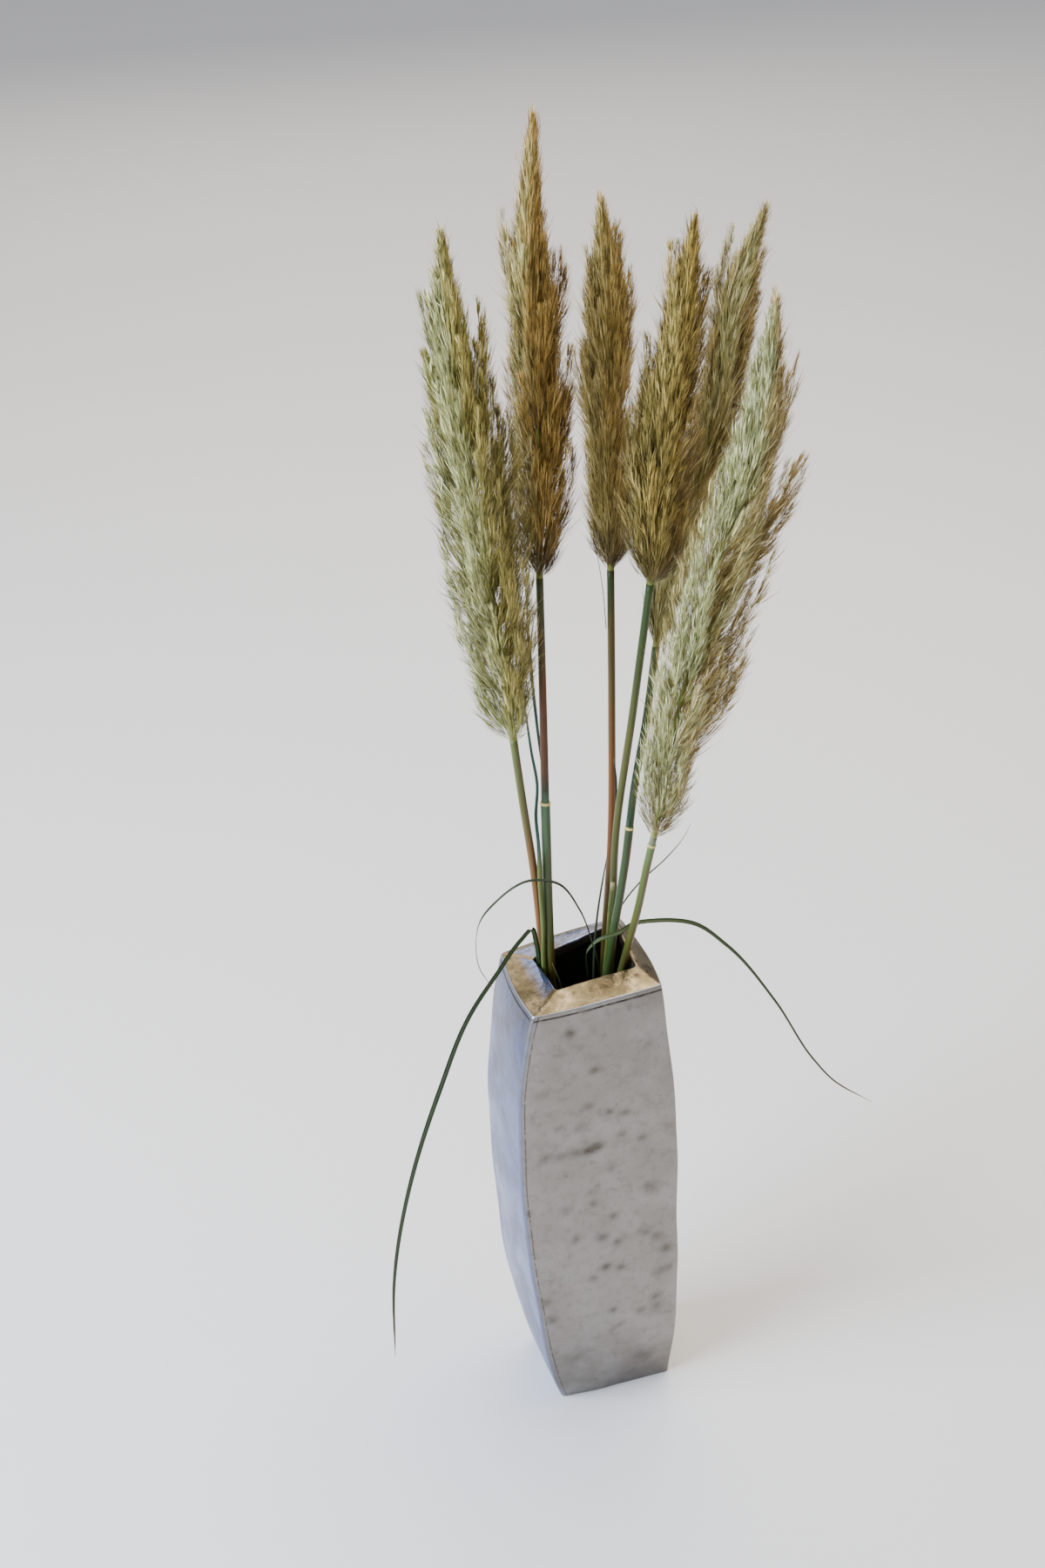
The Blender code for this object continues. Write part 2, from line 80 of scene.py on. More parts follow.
def addPiece(name, mesh, materials):
    for material in materials:
        mesh.materials.append(material)
    piece = bpy.data.objects.new(name + "_dressed", mesh)
    bpy.context.scene.collection.objects.link(piece)
    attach(piece, "root")
    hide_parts(name)
    return piece


def unit(vectors):
    return vectors / np.maximum(np.linalg.norm(vectors, axis=-1, keepdims=True), 1e-12)


class Route:
    # a smooth curve through a few points, read by shares of its length
    def __init__(self, points):
        self.points = np.array(points, float)
        steps = np.linalg.norm(np.diff(self.points, axis=0), axis=1)
        self.knots = np.concatenate([[0.0], np.cumsum(steps)])
        self.length = self.knots[-1]
        self.slopes = np.gradient(self.points, self.knots, axis=0)

    def at(self, share):
        s = np.clip(np.asarray(share, float), 0.0, 1.0) * self.length
        i = np.clip(np.searchsorted(self.knots, s, side="right") - 1, 0, len(self.points) - 2)
        span = (self.knots[i + 1] - self.knots[i])[..., None]
        u = (s - self.knots[i])[..., None] / span
        start = (1 + 2 * u) * (1 - u) ** 2 * self.points[i] + u * (1 - u) ** 2 * span * self.slopes[i]
        end = u * u * (3 - 2 * u) * self.points[i + 1] - u * u * (1 - u) * span * self.slopes[i + 1]
        return start + end

    def direction(self, share, step=0.002):
        share = np.asarray(share, float)
        return unit(self.at(share + step) - self.at(share - step))

    def shareAtHeight(self, z):
        shares = np.linspace(0.0, 1.0, 2000)
        return np.interp(z, self.at(shares)[:, 2], shares)


def crossSections(route, shares, across, offsets):
    # offsets is one (side, up) outline per share, set square across the curve
    centre = route.at(shares)
    forward = route.direction(shares)
    across = np.broadcast_to(np.asarray(across, float), forward.shape)
    side = unit(across - forward * np.sum(forward * across, axis=-1, keepdims=True))
    up = np.cross(forward, side)
    return (centre[:, None] + side[:, None] * offsets[..., 0:1] + up[:, None] * offsets[..., 1:2])


def screen(red, green, blue, strength=1.0):
    # a colour as it looks on a screen, turned into light values
    shares = [value / 255 for value in (red, green, blue)]
    values = [c / 12.92 if c <= 0.04 else ((c + 0.055) / 1.055) ** 2.4 for c in shares]
    return (*[value * strength for value in values], 1.0)


def node(tree, kind, inputs=None, **settings):
    made = tree.nodes.new("ShaderNode" + kind)
    for key, value in settings.items():
        setattr(made, key, value)
    for key, value in (inputs or {}).items():
        if isinstance(value, bpy.types.NodeSocket):
            tree.links.new(value, made.inputs[key])
        else:
            made.inputs[key].default_value = value
    return made


def calculate(tree, operation, a, b=0.0, clamp=False):
    return node(tree, "Math", {0: a, 1: b}, operation=operation, use_clamp=clamp).outputs[0]


def times(tree, a, b):
    return calculate(tree, "MULTIPLY", a, b)


def remap(tree, value, low, high, newLow=0.0, newHigh=1.0):
    inputs = {"Value": value, "From Min": low, "From Max": high, "To Min": newLow, "To Max": newHigh}
    return node(tree, "MapRange", inputs, interpolation_type="SMOOTHSTEP").outputs["Result"]


def mixColour(tree, factor, a, b, blend="MIX"):
    made = node(tree, "Mix", {0: factor, 6: a, 7: b}, data_type="RGBA", blend_type=blend)
    return made.outputs[2]


def mixValue(tree, factor, a, b):
    return node(tree, "Mix", {0: factor, 2: a, 3: b}, data_type="FLOAT").outputs[0]


def ramp(tree, value, stops):
    made = node(tree, "ValToRGB", {"Fac": value})
    band = made.color_ramp
    band.elements[0].position, band.elements[0].color = stops[0]
    band.elements[1].position, band.elements[1].color = stops[-1]
    for place, colour in stops[1:-1]:
        band.elements.new(place).color = colour
    return made.outputs["Color"]


def readPaint(tree, name):
    return node(tree, "Attribute", attribute_name=name).outputs["Fac"]


def newGroup(name, inputs, outputs):
    tree = bpy.data.node_groups.new(name, "ShaderNodeTree")
    for title, kind, value in inputs:
        socket = tree.interface.new_socket(title, in_out="INPUT", socket_type="NodeSocket" + kind)
        if value is not None:
            socket.default_value = value
    for title, kind in outputs:
        tree.interface.new_socket(title, in_out="OUTPUT", socket_type="NodeSocket" + kind)
    return tree, tree.nodes.new("NodeGroupInput").outputs, tree.nodes.new("NodeGroupOutput").inputs


def useGroup(tree, group, **inputs):
    # inputs are named after the group's own sockets; the group's single output comes back
    made = node(tree, "Group")
    made.node_tree = group
    for key, value in inputs.items():
        if isinstance(value, bpy.types.NodeSocket):
            tree.links.new(value, made.inputs[key])
        else:
            made.inputs[key].default_value = value
    return made.outputs[0]


def cloudMask(tree, place, scale, detail=4.0, low=0.35, high=0.65):
    return useGroup(tree, softClouds, Vector=place, Scale=scale, Detail=detail, Low=low, High=high)


def speckMask(tree, place, scale, size, share):
    return useGroup(tree, fineSpecks, Vector=place, Scale=scale, Size=size, Share=share)


def streakMask(tree, across, along, count, stretch, seed):
    return useGroup(tree, longStreaks, Across=across, Along=along, Count=count, Stretch=stretch, Seed=seed)


def objectPlace(tree):
    return node(tree, "TexCoord").outputs["Object"]


def newMaterial(name, **plain):
    # plain holds the values that are the same all over the surface
    material = bpy.data.materials.new(name)
    material.use_nodes = True
    tree = material.node_tree
    shader = tree.nodes["Principled BSDF"]
    for key, value in plain.items():
        shader.inputs[key].default_value = value
    return material, tree, shader.inputs


def layered(tree, base, layers):
    # each layer is a mask and a colour, laid over the ones before
    for mask, colour in layers:
        base = mixColour(tree, mask, base, colour)
    return base


def dress(tree, surface, colour, roughness=None, bump=None):
    # bump is a strength, a distance and the height behind it
    tree.links.new(colour, surface["Base Color"])
    if roughness is not None:
        tree.links.new(roughness, surface["Roughness"])
    if bump is not None:
        strength, distance, height = bump
        made = node(tree, "Bump", {"Strength": strength, "Distance": distance, "Height": height})
        tree.links.new(made.outputs["Normal"], surface["Normal"])


def buildClouds():
    tree, given, out = newGroup("softClouds", [("Vector", "Vector", None), ("Scale", "Float", 20.0),
                                               ("Detail", "Float", 4.0), ("Low", "Float", 0.35),
                                               ("High", "Float", 0.65)], [("Mask", "Float")])
    cloud = node(tree, "TexNoise", {"Vector": given["Vector"], "Scale": given["Scale"],
                                    "Detail": given["Detail"], "Roughness": 0.6})
    mask = remap(tree, cloud.outputs["Fac"], given["Low"], given["High"])
    tree.links.new(mask, out["Mask"])
    return tree


def buildStreaks():
    # long fine lines: many across, few along
    tree, given, out = newGroup("longStreaks", [("Across", "Float", 0.0), ("Along", "Float", 0.0),
                                                ("Count", "Float", 12.0), ("Stretch", "Float", 20.0),
                                                ("Seed", "Float", 0.0)], [("Streak", "Float")])
    place = node(tree, "CombineXYZ", {"X": times(tree, given["Across"], given["Count"]),
                                      "Y": times(tree, given["Along"], given["Stretch"]),
                                      "Z": given["Seed"]})
    line = node(tree, "TexNoise", {"Vector": place.outputs[0], "Scale": 1.0, "Detail": 3.0})
    tree.links.new(remap(tree, line.outputs["Fac"], 0.3, 0.7), out["Streak"])
    return tree


def buildSpecks():
    tree, given, out = newGroup("fineSpecks", [("Vector", "Vector", None), ("Scale", "Float", 300.0),
                                               ("Size", "Float", 0.2), ("Share", "Float", 0.3)],
                                [("Mask", "Float")])
    dots = node(tree, "TexVoronoi", {"Vector": given["Vector"], "Scale": given["Scale"]})
    inside = calculate(tree, "LESS_THAN", dots.outputs["Distance"], given["Size"])
    shade = node(tree, "SeparateColor", {"Color": dots.outputs["Color"]})
    chosen = calculate(tree, "LESS_THAN", shade.outputs[0], given["Share"])
    tree.links.new(times(tree, inside, chosen), out["Mask"])
    return tree


def buildFibreTone():
    # a fibre's own shade between dark, middle and light, paler towards its tip
    tree, given, out = newGroup("fibreTone", [("Tone", "Float", 0.5), ("Tip", "Float", 0.0),
                                              ("Dark", "Color", None), ("Middle", "Color", None),
                                              ("Light", "Color", None), ("Bleach", "Float", 0.3)],
                                [("Color", "Color")])
    lift = remap(tree, given["Tip"], 0.0, 0.9, -0.20, 0.16)
    tone = calculate(tree, "ADD", given["Tone"], lift, clamp=True)
    low = mixColour(tree, remap(tree, tone, 0.0, 0.5), given["Dark"], given["Middle"])
    high = mixColour(tree, remap(tree, tone, 0.5, 1.0), low, given["Light"])
    bleached = times(tree, given["Tip"], given["Bleach"])
    tree.links.new(mixColour(tree, bleached, high, given["Light"]), out["Color"])
    return tree


softClouds = buildClouds()
longStreaks = buildStreaks()
fineSpecks = buildSpecks()
fibreTone = buildFibreTone()
print("shader groups built")


vase = {
    "height": 0.450,
    # sections at the foot, a quarter, half and three quarters of the way up, and at the rim
    "halfWidth": (0.0512, 0.0644, 0.0690, 0.0681, 0.0555),
    "halfDepth": (0.0405, 0.0518, 0.0553, 0.0527, 0.0457),
    "centreX": (0.0, -0.0119, -0.0138, -0.0143, -0.0129),
    "centreY": (0.0, -0.0037, 0.0019, 0.0020, 0.0),
    "twist": (-1.1, 1.8, -0.1, -1.6, 1.7),  # degrees
    "rimPull": ((-0.0003, -0.0038), (0.0002, 0.0006), (0.0006, 0.0110), (0.0011, -0.0022)),
    "rimPullPower": 3,
    "wall": 0.007,
    "floor": 0.010,
    "sideBow": 0.0028,
    "cornerRadius": 0.0035,
    "wave": 0.0007,
    "waves": ((31, 2, 0.0, 1.0), (67, -3, 1.0, 0.6)),  # turns with height, turns around, phase and share
    "lipRise": 0.005,
    "lidThickness": 0.008,
    "edgeRound": 0.0016,
    "lipWidth": 0.0016,
    "mouth": ((-0.0410, -0.0285), (0.0290, -0.0200), (0.0340, 0.0450), (-0.0470, 0.0185)),
    "lumps": 0.00022,  # height of the small unevenness left by the fingers
    "lumpScales": (34, 110),
    "lidDents": 0.0006,
    "dentScales": (55, 140),
    "lipDents": 0.0006,
    "lipDentScale": 90,
    "lidSlope": 1.3,  # above 1 the lid is steeper at the rim than at the mouth
    "joinBelowRim": 0.0046,  # where the lid slab meets the walls
    "joinDepth": 0.0006,
    "joinHeight": 0.0009,
    "joinWander": 60,  # scale of the change in its depth
    "ringsByJoin": (-3, -1.6, -1, -0.6, -0.3, 0, 0.3, 0.6, 1, 1.6),  # in heights of the join
    "lastPlainRing": 0.009,  # below the rim
    "lastWallRing": 0.0022,
    "seamDepth": 0.0004,  # the pinched seam down the front left edge
    "seamAside": 0.0016,
    "seamWidth": 0.0005,
    "seamWander": 0.0004,
    "rimGleam": 0.0012,  # height of the painted highlight band along the rim
    "coolReflectionLid": (17, 12),  # on the left of the lid: rings before the painted cool reflection, and rings it takes to grow
    "coolReflectionBack": (9, 0.8),  # at the back of the lid: rings before the painted cool reflection, and its strength
    "spotsElsewhere": 90,
    "spotSeed": 5,
    "spotSize": (0.003, 0.008),
    "spotStrength": (0.3, 0.8),
    "spotHeights": (0.02, 0.44),
    "spotFlatness": 1.15,  # above 1 the spots are wider than tall
    "markSoftness": 1.3,
    "sharpEdge": 50,  # degrees
    "nearEdges": (0.0, 0.0005, 0.0010, 0.0014, 0.0018, 0.0023, 0.0030, 0.0042),
    "sideSteps": (74, 18, 18, 18),
    "cornerSteps": 5,
    "outerRings": 190,
    "lidRings": 34,
    "innerRings": 12,
}


def between(stations, share):
    heights = np.linspace(0.0, 1.0, len(stations))
    return np.polyval(np.polyfit(heights, stations, len(stations) - 1), share)


def cornersAt(share, inset):
    width = between(vase["halfWidth"], share) - inset
    depth = between(vase["halfDepth"], share) - inset
    x, y = between(vase["centreX"], share), between(vase["centreY"], share)
    turn = math.radians(between(vase["twist"], share))
    c, s = math.cos(turn), math.sin(turn)
    fade = share ** vase["rimPullPower"]
    corners = []
    for (i, j), pull in zip(((-1, -1), (1, -1), (1, 1), (-1, 1)), vase["rimPull"]):
        across, back = i * width, j * depth
        corners.append((x + c * across - s * back + pull[0] * fade,
                        y + s * across + c * back + pull[1] * fade))
    return corners


def sideBow(share):
    return vase["sideBow"] * (0.5 + 0.5 * math.sin(math.pi * share / 2))


def outline(corners, bow):
    # points round a four-cornered section; the columns are the same in every ring
    radius = vase["cornerRadius"]
    points, outwards = [], []
    for k in range(4):
        start, end, after = (np.array(corners[(k + i) % 4]) for i in range(3))
        along = (end - start) / np.linalg.norm(end - start)
        turned = (after - end) / np.linalg.norm(after - end)
        outward = np.array((along[1], -along[0]))
        nextOutward = np.array((turned[1], -turned[0]))
        first, last = start + along * radius, end - along * radius
        length = np.linalg.norm(last - first)
        edge = np.array(vase["nearEdges"]) / length
        middle = np.linspace(edge[-1], 1 - edge[-1], vase["sideSteps"][k])[1:-1]
        for share in np.concatenate([edge, middle, 1 - edge[::-1]]):
            points.append(first + (last - first) * share + outward * bow * (1 - (2 * share - 1) ** 2))
            outwards.append(outward)
        # the rounded corner is an arc from one side to the next
        for step in range(1, vase["cornerSteps"]):
            t = step / vase["cornerSteps"]
            onEnd = end + turned * radius
            point = (1 - t) ** 2 * last + 2 * t * (1 - t) * end + t * t * onEnd
            points.append(point)
            outwards.append(unit(outward * (1 - t) + nextOutward * t))
    return np.array(points), np.array(outwards)


def sidePlaces():
    # for each column: which side it is on, how far along, and its distance from the side's first corner
    places = []
    for k in range(4):
        count = len(vase["nearEdges"]) * 2 + vase["sideSteps"][k] - 2
        for i in range(count):
            edge = vase["nearEdges"][i] if i < len(vase["nearEdges"]) else 1.0
            places.append((k, i / (count - 1), edge))
        for _ in range(1, vase["cornerSteps"]):
            places.append((k + 0.5, 1.0, 1.0))
    return np.array(places)


def waved(points, z):
    angle = np.arctan2(points[:, 1], points[:, 0])
    push = sum(share * np.sin(rise * z + turns * angle + phase)
               for rise, turns, phase, share in vase["waves"])
    return points + np.stack([np.cos(angle), np.sin(angle)], axis=1) * (vase["wave"] * push)[:, None]


def ringAt(points, z):
    return np.column_stack([points, np.full(len(points), z)])


def noiseAt(points, scale, shift=(0, 0, 0)):
    return np.array([noise.noise(Vector(p) * scale + Vector(shift)) for p in points])


def bell(distance, width):
    return np.exp(-((distance / width) ** 2))


# dark spots on the front: share of the way from its left edge, height, size and strength
frontSmudges = (
    (0.30, 0.427, 0.0052, 0.95), (0.47, 0.386, 0.0042, 0.7), (0.43, 0.348, 0.0048, 0.7),
    (0.57, 0.338, 0.0040, 0.9), (0.67, 0.334, 0.0040, 0.8), (0.38, 0.327, 0.0050, 0.5),
    (0.64, 0.311, 0.0048, 0.7), (0.77, 0.302, 0.0042, 0.6), (0.17, 0.301, 0.0060, 0.5),
    (0.26, 0.300, 0.0060, 0.6), (0.35, 0.300, 0.0060, 0.75), (0.43, 0.300, 0.0060, 0.9),
    (0.49, 0.304, 0.0060, 1.0), (0.57, 0.276, 0.0045, 0.7), (0.83, 0.244, 0.0075, 0.6),
    (0.44, 0.241, 0.0045, 0.7), (0.56, 0.222, 0.0040, 0.8), (0.02, 0.244, 0.0050, 0.6),
    (0.31, 0.207, 0.0050, 0.6), (0.48, 0.202, 0.0055, 0.8), (0.58, 0.192, 0.0050, 0.75),
    (0.77, 0.194, 0.0050, 0.7), (0.85, 0.186, 0.0060, 0.75), (0.91, 0.169, 0.0070, 0.8),
    (0.49, 0.167, 0.0055, 0.85), (0.59, 0.162, 0.0045, 0.7), (0.40, 0.157, 0.0050, 0.6),
    (0.83, 0.115, 0.0060, 0.6), (0.84, 0.102, 0.0070, 0.6), (0.52, 0.113, 0.0045, 0.8),
    (0.73, 0.103, 0.0048, 0.7), (0.07, 0.141, 0.0055, 0.6), (0.09, 0.118, 0.0060, 0.6),
    (0.88, 0.144, 0.0090, 0.5), (0.13, 0.368, 0.0050, 0.4), (0.85, 0.397, 0.0060, 0.4),
    (0.26, 0.240, 0.0060, 0.4), (0.20, 0.062, 0.0110, 0.5), (0.75, 0.041, 0.0100, 0.5),
    (0.43, 0.004, 0.0120, 0.5),
)


# a pinhole with a curved crack, a dent and a few dots in the lid: place and size
lidMarks = (
    (0.0366, -0.0204, 0.0016), (0.0385, -0.0190, 0.0010), (0.0402, -0.0180, 0.0009),
    (0.0414, -0.0196, 0.0009), (0.0412, -0.0218, 0.0009), (0.0396, -0.0246, 0.0009),
    (0.0372, -0.0268, 0.0010), (0.0270, -0.0295, 0.0022), (0.0178, -0.0324, 0.0014),
    (0.0323, -0.0121, 0.0009), (-0.0291, -0.0273, 0.0010), (-0.0286, -0.0360, 0.0009),
)


def marksAt(points):
    total = np.zeros(len(points))
    soft = vase["markSoftness"]
    for x, y, size in lidMarks:
        distance = (points[:, 0] - x) ** 2 + (points[:, 1] - y) ** 2
        total += soft * np.exp(-distance / (soft * size * size))
    return np.clip(total, 0, 1) * (points[:, 2] > vase["height"])


def smudgesAt(points, sideOf):
    # soft round spots on the front, and scattered ones on the other sides
    dice = np.random.default_rng(vase["spotSeed"])
    spots = [(0, share, z, size, strength) for share, z, size, strength in frontSmudges]
    for _ in range(vase["spotsElsewhere"]):
        k, z, share = dice.integers(1, 4), dice.uniform(*vase["spotHeights"]), dice.random()
        spots.append((k, share, z, dice.uniform(*vase["spotSize"]), dice.uniform(*vase["spotStrength"])))
    total = np.zeros(len(points))
    for k, share, z, size, strength in spots:
        corners = cornersAt(z / vase["height"], 0.0)
        left, right = np.array(corners[k]), np.array(corners[(k + 1) % 4])
        along = (points[:, :2] - left - (right - left) * share) @ unit(right - left)
        distance = along ** 2 + ((points[:, 2] - z) * vase["spotFlatness"]) ** 2
        total += strength * np.exp(-distance / (size * size)) * (sideOf == k)
    return np.clip(total, 0, 1)


def wallRing(z, places):
    # a ring of the outer wall with its lumps, the lid's join and the pinched seam
    height, edgeRound = vase["height"], vase["edgeRound"]
    share = (z - edgeRound) / (height - 2 * edgeRound)
    points, outwards = outline(cornersAt(z / height, 0.0), sideBow(share))
    ring = ringAt(waved(points, z), z)
    slow, quick = vase["lumpScales"]
    push = vase["lumps"] * (noiseAt(ring, slow) + 0.4 * noiseAt(ring, quick, (7, 3, 1)))
    groove = bell(z - (height - vase["joinBelowRim"]), vase["joinHeight"] * 0.5)
    push -= vase["joinDepth"] * groove * (0.75 + 0.5 * noiseAt(ring * (1, 1, 0), vase["joinWander"]))
    seamAt = vase["seamAside"] + vase["seamWander"] * noise.noise(Vector((0, 0, z * 45)))
    seam = bell(places[:, 2] - seamAt, vase["seamWidth"] * 0.5) * (places[:, 0] == 0)
    push -= vase["seamDepth"] * seam * (0.6 + 0.6 * noise.noise(Vector((3, 0, z * 90))))
    ring[:, :2] += outwards * push[:, None]
    return ring


def wallRings(places):
    height, edgeRound = vase["height"], vase["edgeRound"]
    rings = [ringAt(outline(cornersAt(0.0, inset), sideBow(0.0))[0], z)
             for inset, z in ((edgeRound, 0.0), (edgeRound * 0.3, edgeRound * 0.3))]
    nearJoin = height - vase["joinBelowRim"] + vase["joinHeight"] * np.array(vase["ringsByJoin"])
    plain = np.linspace(edgeRound, height - vase["lastPlainRing"], vase["outerRings"])
    heights = np.concatenate([plain, nearJoin, [height - vase["lastWallRing"], height - edgeRound]])
    return rings + [wallRing(z, places) for z in heights]


def lidRings():
    # the rim's round edge, the sloped lid, the lip of the mouth and its inner face
    height, edgeRound, lipTop = vase["height"], vase["edgeRound"], vase["height"] + vase["lipRise"]
    quarter = np.array((0.35, 0.7, 1.0)) * math.pi / 2
    rim, _ = outline(cornersAt(1.0, 0.0), vase["sideBow"])
    inner, _ = outline(cornersAt(1.0, edgeRound), vase["sideBow"])
    rings = []
    for turn in quarter:
        points = waved(rim + (inner - rim) * (1 - math.cos(turn)), height)
        rings.append(ringAt(points, height - edgeRound * (1 - math.sin(turn))))
    mouth, mouthOut = outline(vase["mouth"], -edgeRound / 2)
    middle = np.mean(vase["mouth"], axis=0)
    reach = np.linalg.norm(mouth - middle, axis=1, keepdims=True)
    wider = middle + (mouth - middle) * (1 + vase["lipWidth"] / reach)
    edge = waved(inner, height)
    broad, fine = vase["dentScales"]
    for step in range(1, vase["lidRings"] + 1):
        t = step / vase["lidRings"]
        rise = vase["lipRise"] * (1 - (1 - t) ** vase["lidSlope"])
        ring = ringAt(edge + (wider - edge) * t, height + rise)
        dents = noiseAt(ring, broad) + 0.5 * noiseAt(ring, fine)
        ring[:, 2] += dents * vase["lidDents"] * math.sin(math.pi * min(t, 0.9))
        rings.append(ring)
    lip = noiseAt(ringAt(mouth, 0.3), vase["lipDentScale"])[:, None]
    uneven = mouth + mouthOut * lip * vase["lipDents"]
    for turn in quarter:
        points = wider + (uneven - wider) * math.sin(turn)
        rings.append(ringAt(points, lipTop - edgeRound * (1 - math.cos(turn))))
    return rings + [ringAt(uneven, lipTop - vase["lidThickness"] * part) for part in (0.6, 1.0)]


def innerRings():
    height, under = vase["height"], vase["height"] - vase["lidThickness"]
    rings = []
    for share in np.linspace(1, 0, vase["innerRings"]):
        z = vase["floor"] + share * (under - vase["floor"])
        rings.append(ringAt(outline(cornersAt(z / height, vase["wall"]), sideBow(share))[0], z))
    return rings


def buildVase():
    height = vase["height"]
    places = sidePlaces()
    walls, lid = wallRings(places), lidRings()
    wallCount, lipCount = len(walls), len(walls) + len(lid)
    stack = np.array(walls + lid + innerRings())
    mesh = solidFrom("vaseShape", stack)
    count, sides = stack.shape[:2]
    slots = np.zeros(len(mesh.polygons), np.int32)
    slots[(wallCount + 1) * sides:(lipCount - 3) * sides] = 1
    slots[(lipCount - 3) * sides:(count - 1) * sides] = 2
    slots[-1] = 2
    mesh.polygons.foreach_set("material_index", slots)
    z, flat = stack[..., 2], stack.reshape(-1, 3)
    row = np.arange(count)[:, None]
    onWall = row < wallCount
    side, _, fromEdge = np.moveaxis(np.broadcast_to(places, (count, sides, 3)), 2, 0)
    paint(mesh, "joinLine", bell(z - (height - vase["joinBelowRim"]), vase["joinHeight"]) * onWall)
    paint(mesh, "seamLine", bell(fromEdge - vase["seamAside"], vase["seamWidth"]) * (side == 0) * onWall)
    paint(mesh, "rimHighlight", bell(z - height, vase["rimGleam"]) * (row < wallCount + 3))
    paint(mesh, "smudges", smudgesAt(flat, side.ravel()) * np.repeat(onWall[:, 0], sides))
    paint(mesh, "lidMarks", marksAt(flat))
    # a painted reflection of the bluish window light: all over the left wall, and on the left and back of the
    # lid
    leftSide = (side == 3) + 0.5 * ((side == 3.5) + (side == 2.5))
    wait, grow = vase["coolReflectionLid"]
    coolReflectionLeft = np.clip((row - wallCount - wait) / grow, 0, 1) * (side == 3)
    wait, strength = vase["coolReflectionBack"]
    coolReflectionBack = (row > wallCount + wait) * (side == 2) * strength
    paint(mesh, "paintedCoolReflection", np.where(onWall, leftSide, np.maximum(coolReflectionLeft, coolReflectionBack)))
    mesh.shade_smooth()
    mesh.set_sharp_from_angle(angle=math.radians(vase["sharpEdge"]))
    return mesh


silverSides = {
    "lustre": screen(141, 136, 132),
    # a painted reflection of the bluish window light on the left side
    "coolReflection": screen(84, 108, 166),
    # the colour of the painted highlight along the rim
    "rimHighlightColour": screen(236, 240, 250),
    # the same painted reflection where it darkens near the top
    "coolReflectionDark": screen(52, 62, 92),
    "cloud": screen(132, 124, 114),
    # the colour of the real dark patina, also used for the painted shade near the foot
    "smudgeAndFootShade": screen(58, 51, 37),
    "line": screen(46, 40, 34),
    "metal": 0.90,
    "roughness": (0.26, 0.42),
    "bump": (0.12, 0.0006),
    # scale, detail and range of each soft pattern
    "clouds": (26.0, 5.0, 0.35, 0.65),
    "small": (120.0, 5.0, 0.45, 0.75),
    "patches": (46.0, 3.0, 0.60, 0.74),
    "feather": (95.0, 4.0, 0.25, 0.75),
    "broken": (190.0, 2.0, 0.30, 0.55),
    "streaks": (1.0, 3.0, 0.30, 0.70),
    "streakScale": (260.0, 260.0, 18.0),
    "specks": (260.0, 0.13, 0.10),  # scale, size and share
    # the foot amount is the strength of the painted shade near the floor
    "amounts": {"clouds": 0.45, "small": 0.22, "patches": 0.25, "spots": 0.95, "specks": 0.6, "foot": 0.42,
                "lines": 0.8},
    # below this height the walls get a painted shade towards the floor
    "footShadeHeight": 0.10,
    "reflectionDarkTop": (0.30, 0.45),  # heights between which the painted cool reflection on the left side darkens
}


def makeSilverSides():
    look = silverSides
    amounts = look["amounts"]
    plain = {"Metallic": look["metal"], "Specular IOR Level": 0.5}
    material, tree, surface = newMaterial("silverSides", **plain)
    place = objectPlace(tree)
    up = node(tree, "SeparateXYZ", {"Vector": place}).outputs["Z"]
    upright = node(tree, "Mapping", {"Vector": place, "Scale": look["streakScale"]}).outputs[0]
    clouds, small, patches, feather, broken = (
        cloudMask(tree, place, *look[key]) for key in ("clouds", "small", "patches", "feather", "broken"))
    streaks = cloudMask(tree, upright, *look["streaks"])
    specks = speckMask(tree, place, *look["specks"])
    # the painted cool reflection darkens towards the top of the left side, in vertical streaks
    nearTop = times(tree, remap(tree, up, *look["reflectionDarkTop"]), mixValue(tree, streaks, 0.5, 1.0))
    coolReflection = mixColour(tree, nearTop, look["coolReflection"], look["coolReflectionDark"])
    silver = mixColour(tree, readPaint(tree, "paintedCoolReflection"), look["lustre"], coolReflection)
    spots = times(tree, readPaint(tree, "smudges"), mixValue(tree, feather, 0.55, 1.0))
    # painted shade: the walls darken towards the floor
    foot = remap(tree, up, 0.0, look["footShadeHeight"], amounts["foot"], 0.0)
    # the painted highlight along the rim, broken by the clouds
    gleam = times(tree, readPaint(tree, "rimHighlight"), mixValue(tree, clouds, 0.85, 0.35))
    lines = calculate(tree, "ADD", readPaint(tree, "joinLine"), readPaint(tree, "seamLine"), clamp=True)
    base = layered(tree, silver, (
        (times(tree, clouds, amounts["clouds"]), look["cloud"]),
        (times(tree, small, amounts["small"]), look["smudgeAndFootShade"]),
        (times(tree, patches, amounts["patches"]), look["smudgeAndFootShade"]),
        (times(tree, spots, amounts["spots"]), look["smudgeAndFootShade"]),
        (times(tree, specks, amounts["specks"]), look["line"]),
        (times(tree, foot, mixValue(tree, clouds, 0.5, 1.0)), look["smudgeAndFootShade"]),
        (gleam, look["rimHighlightColour"]),
        (times(tree, lines, mixValue(tree, broken, 0.0, amounts["lines"])), look["line"]),
    ))
    dress(tree, surface, base, mixValue(tree, clouds, *look["roughness"]), (*look["bump"], small))
    return material


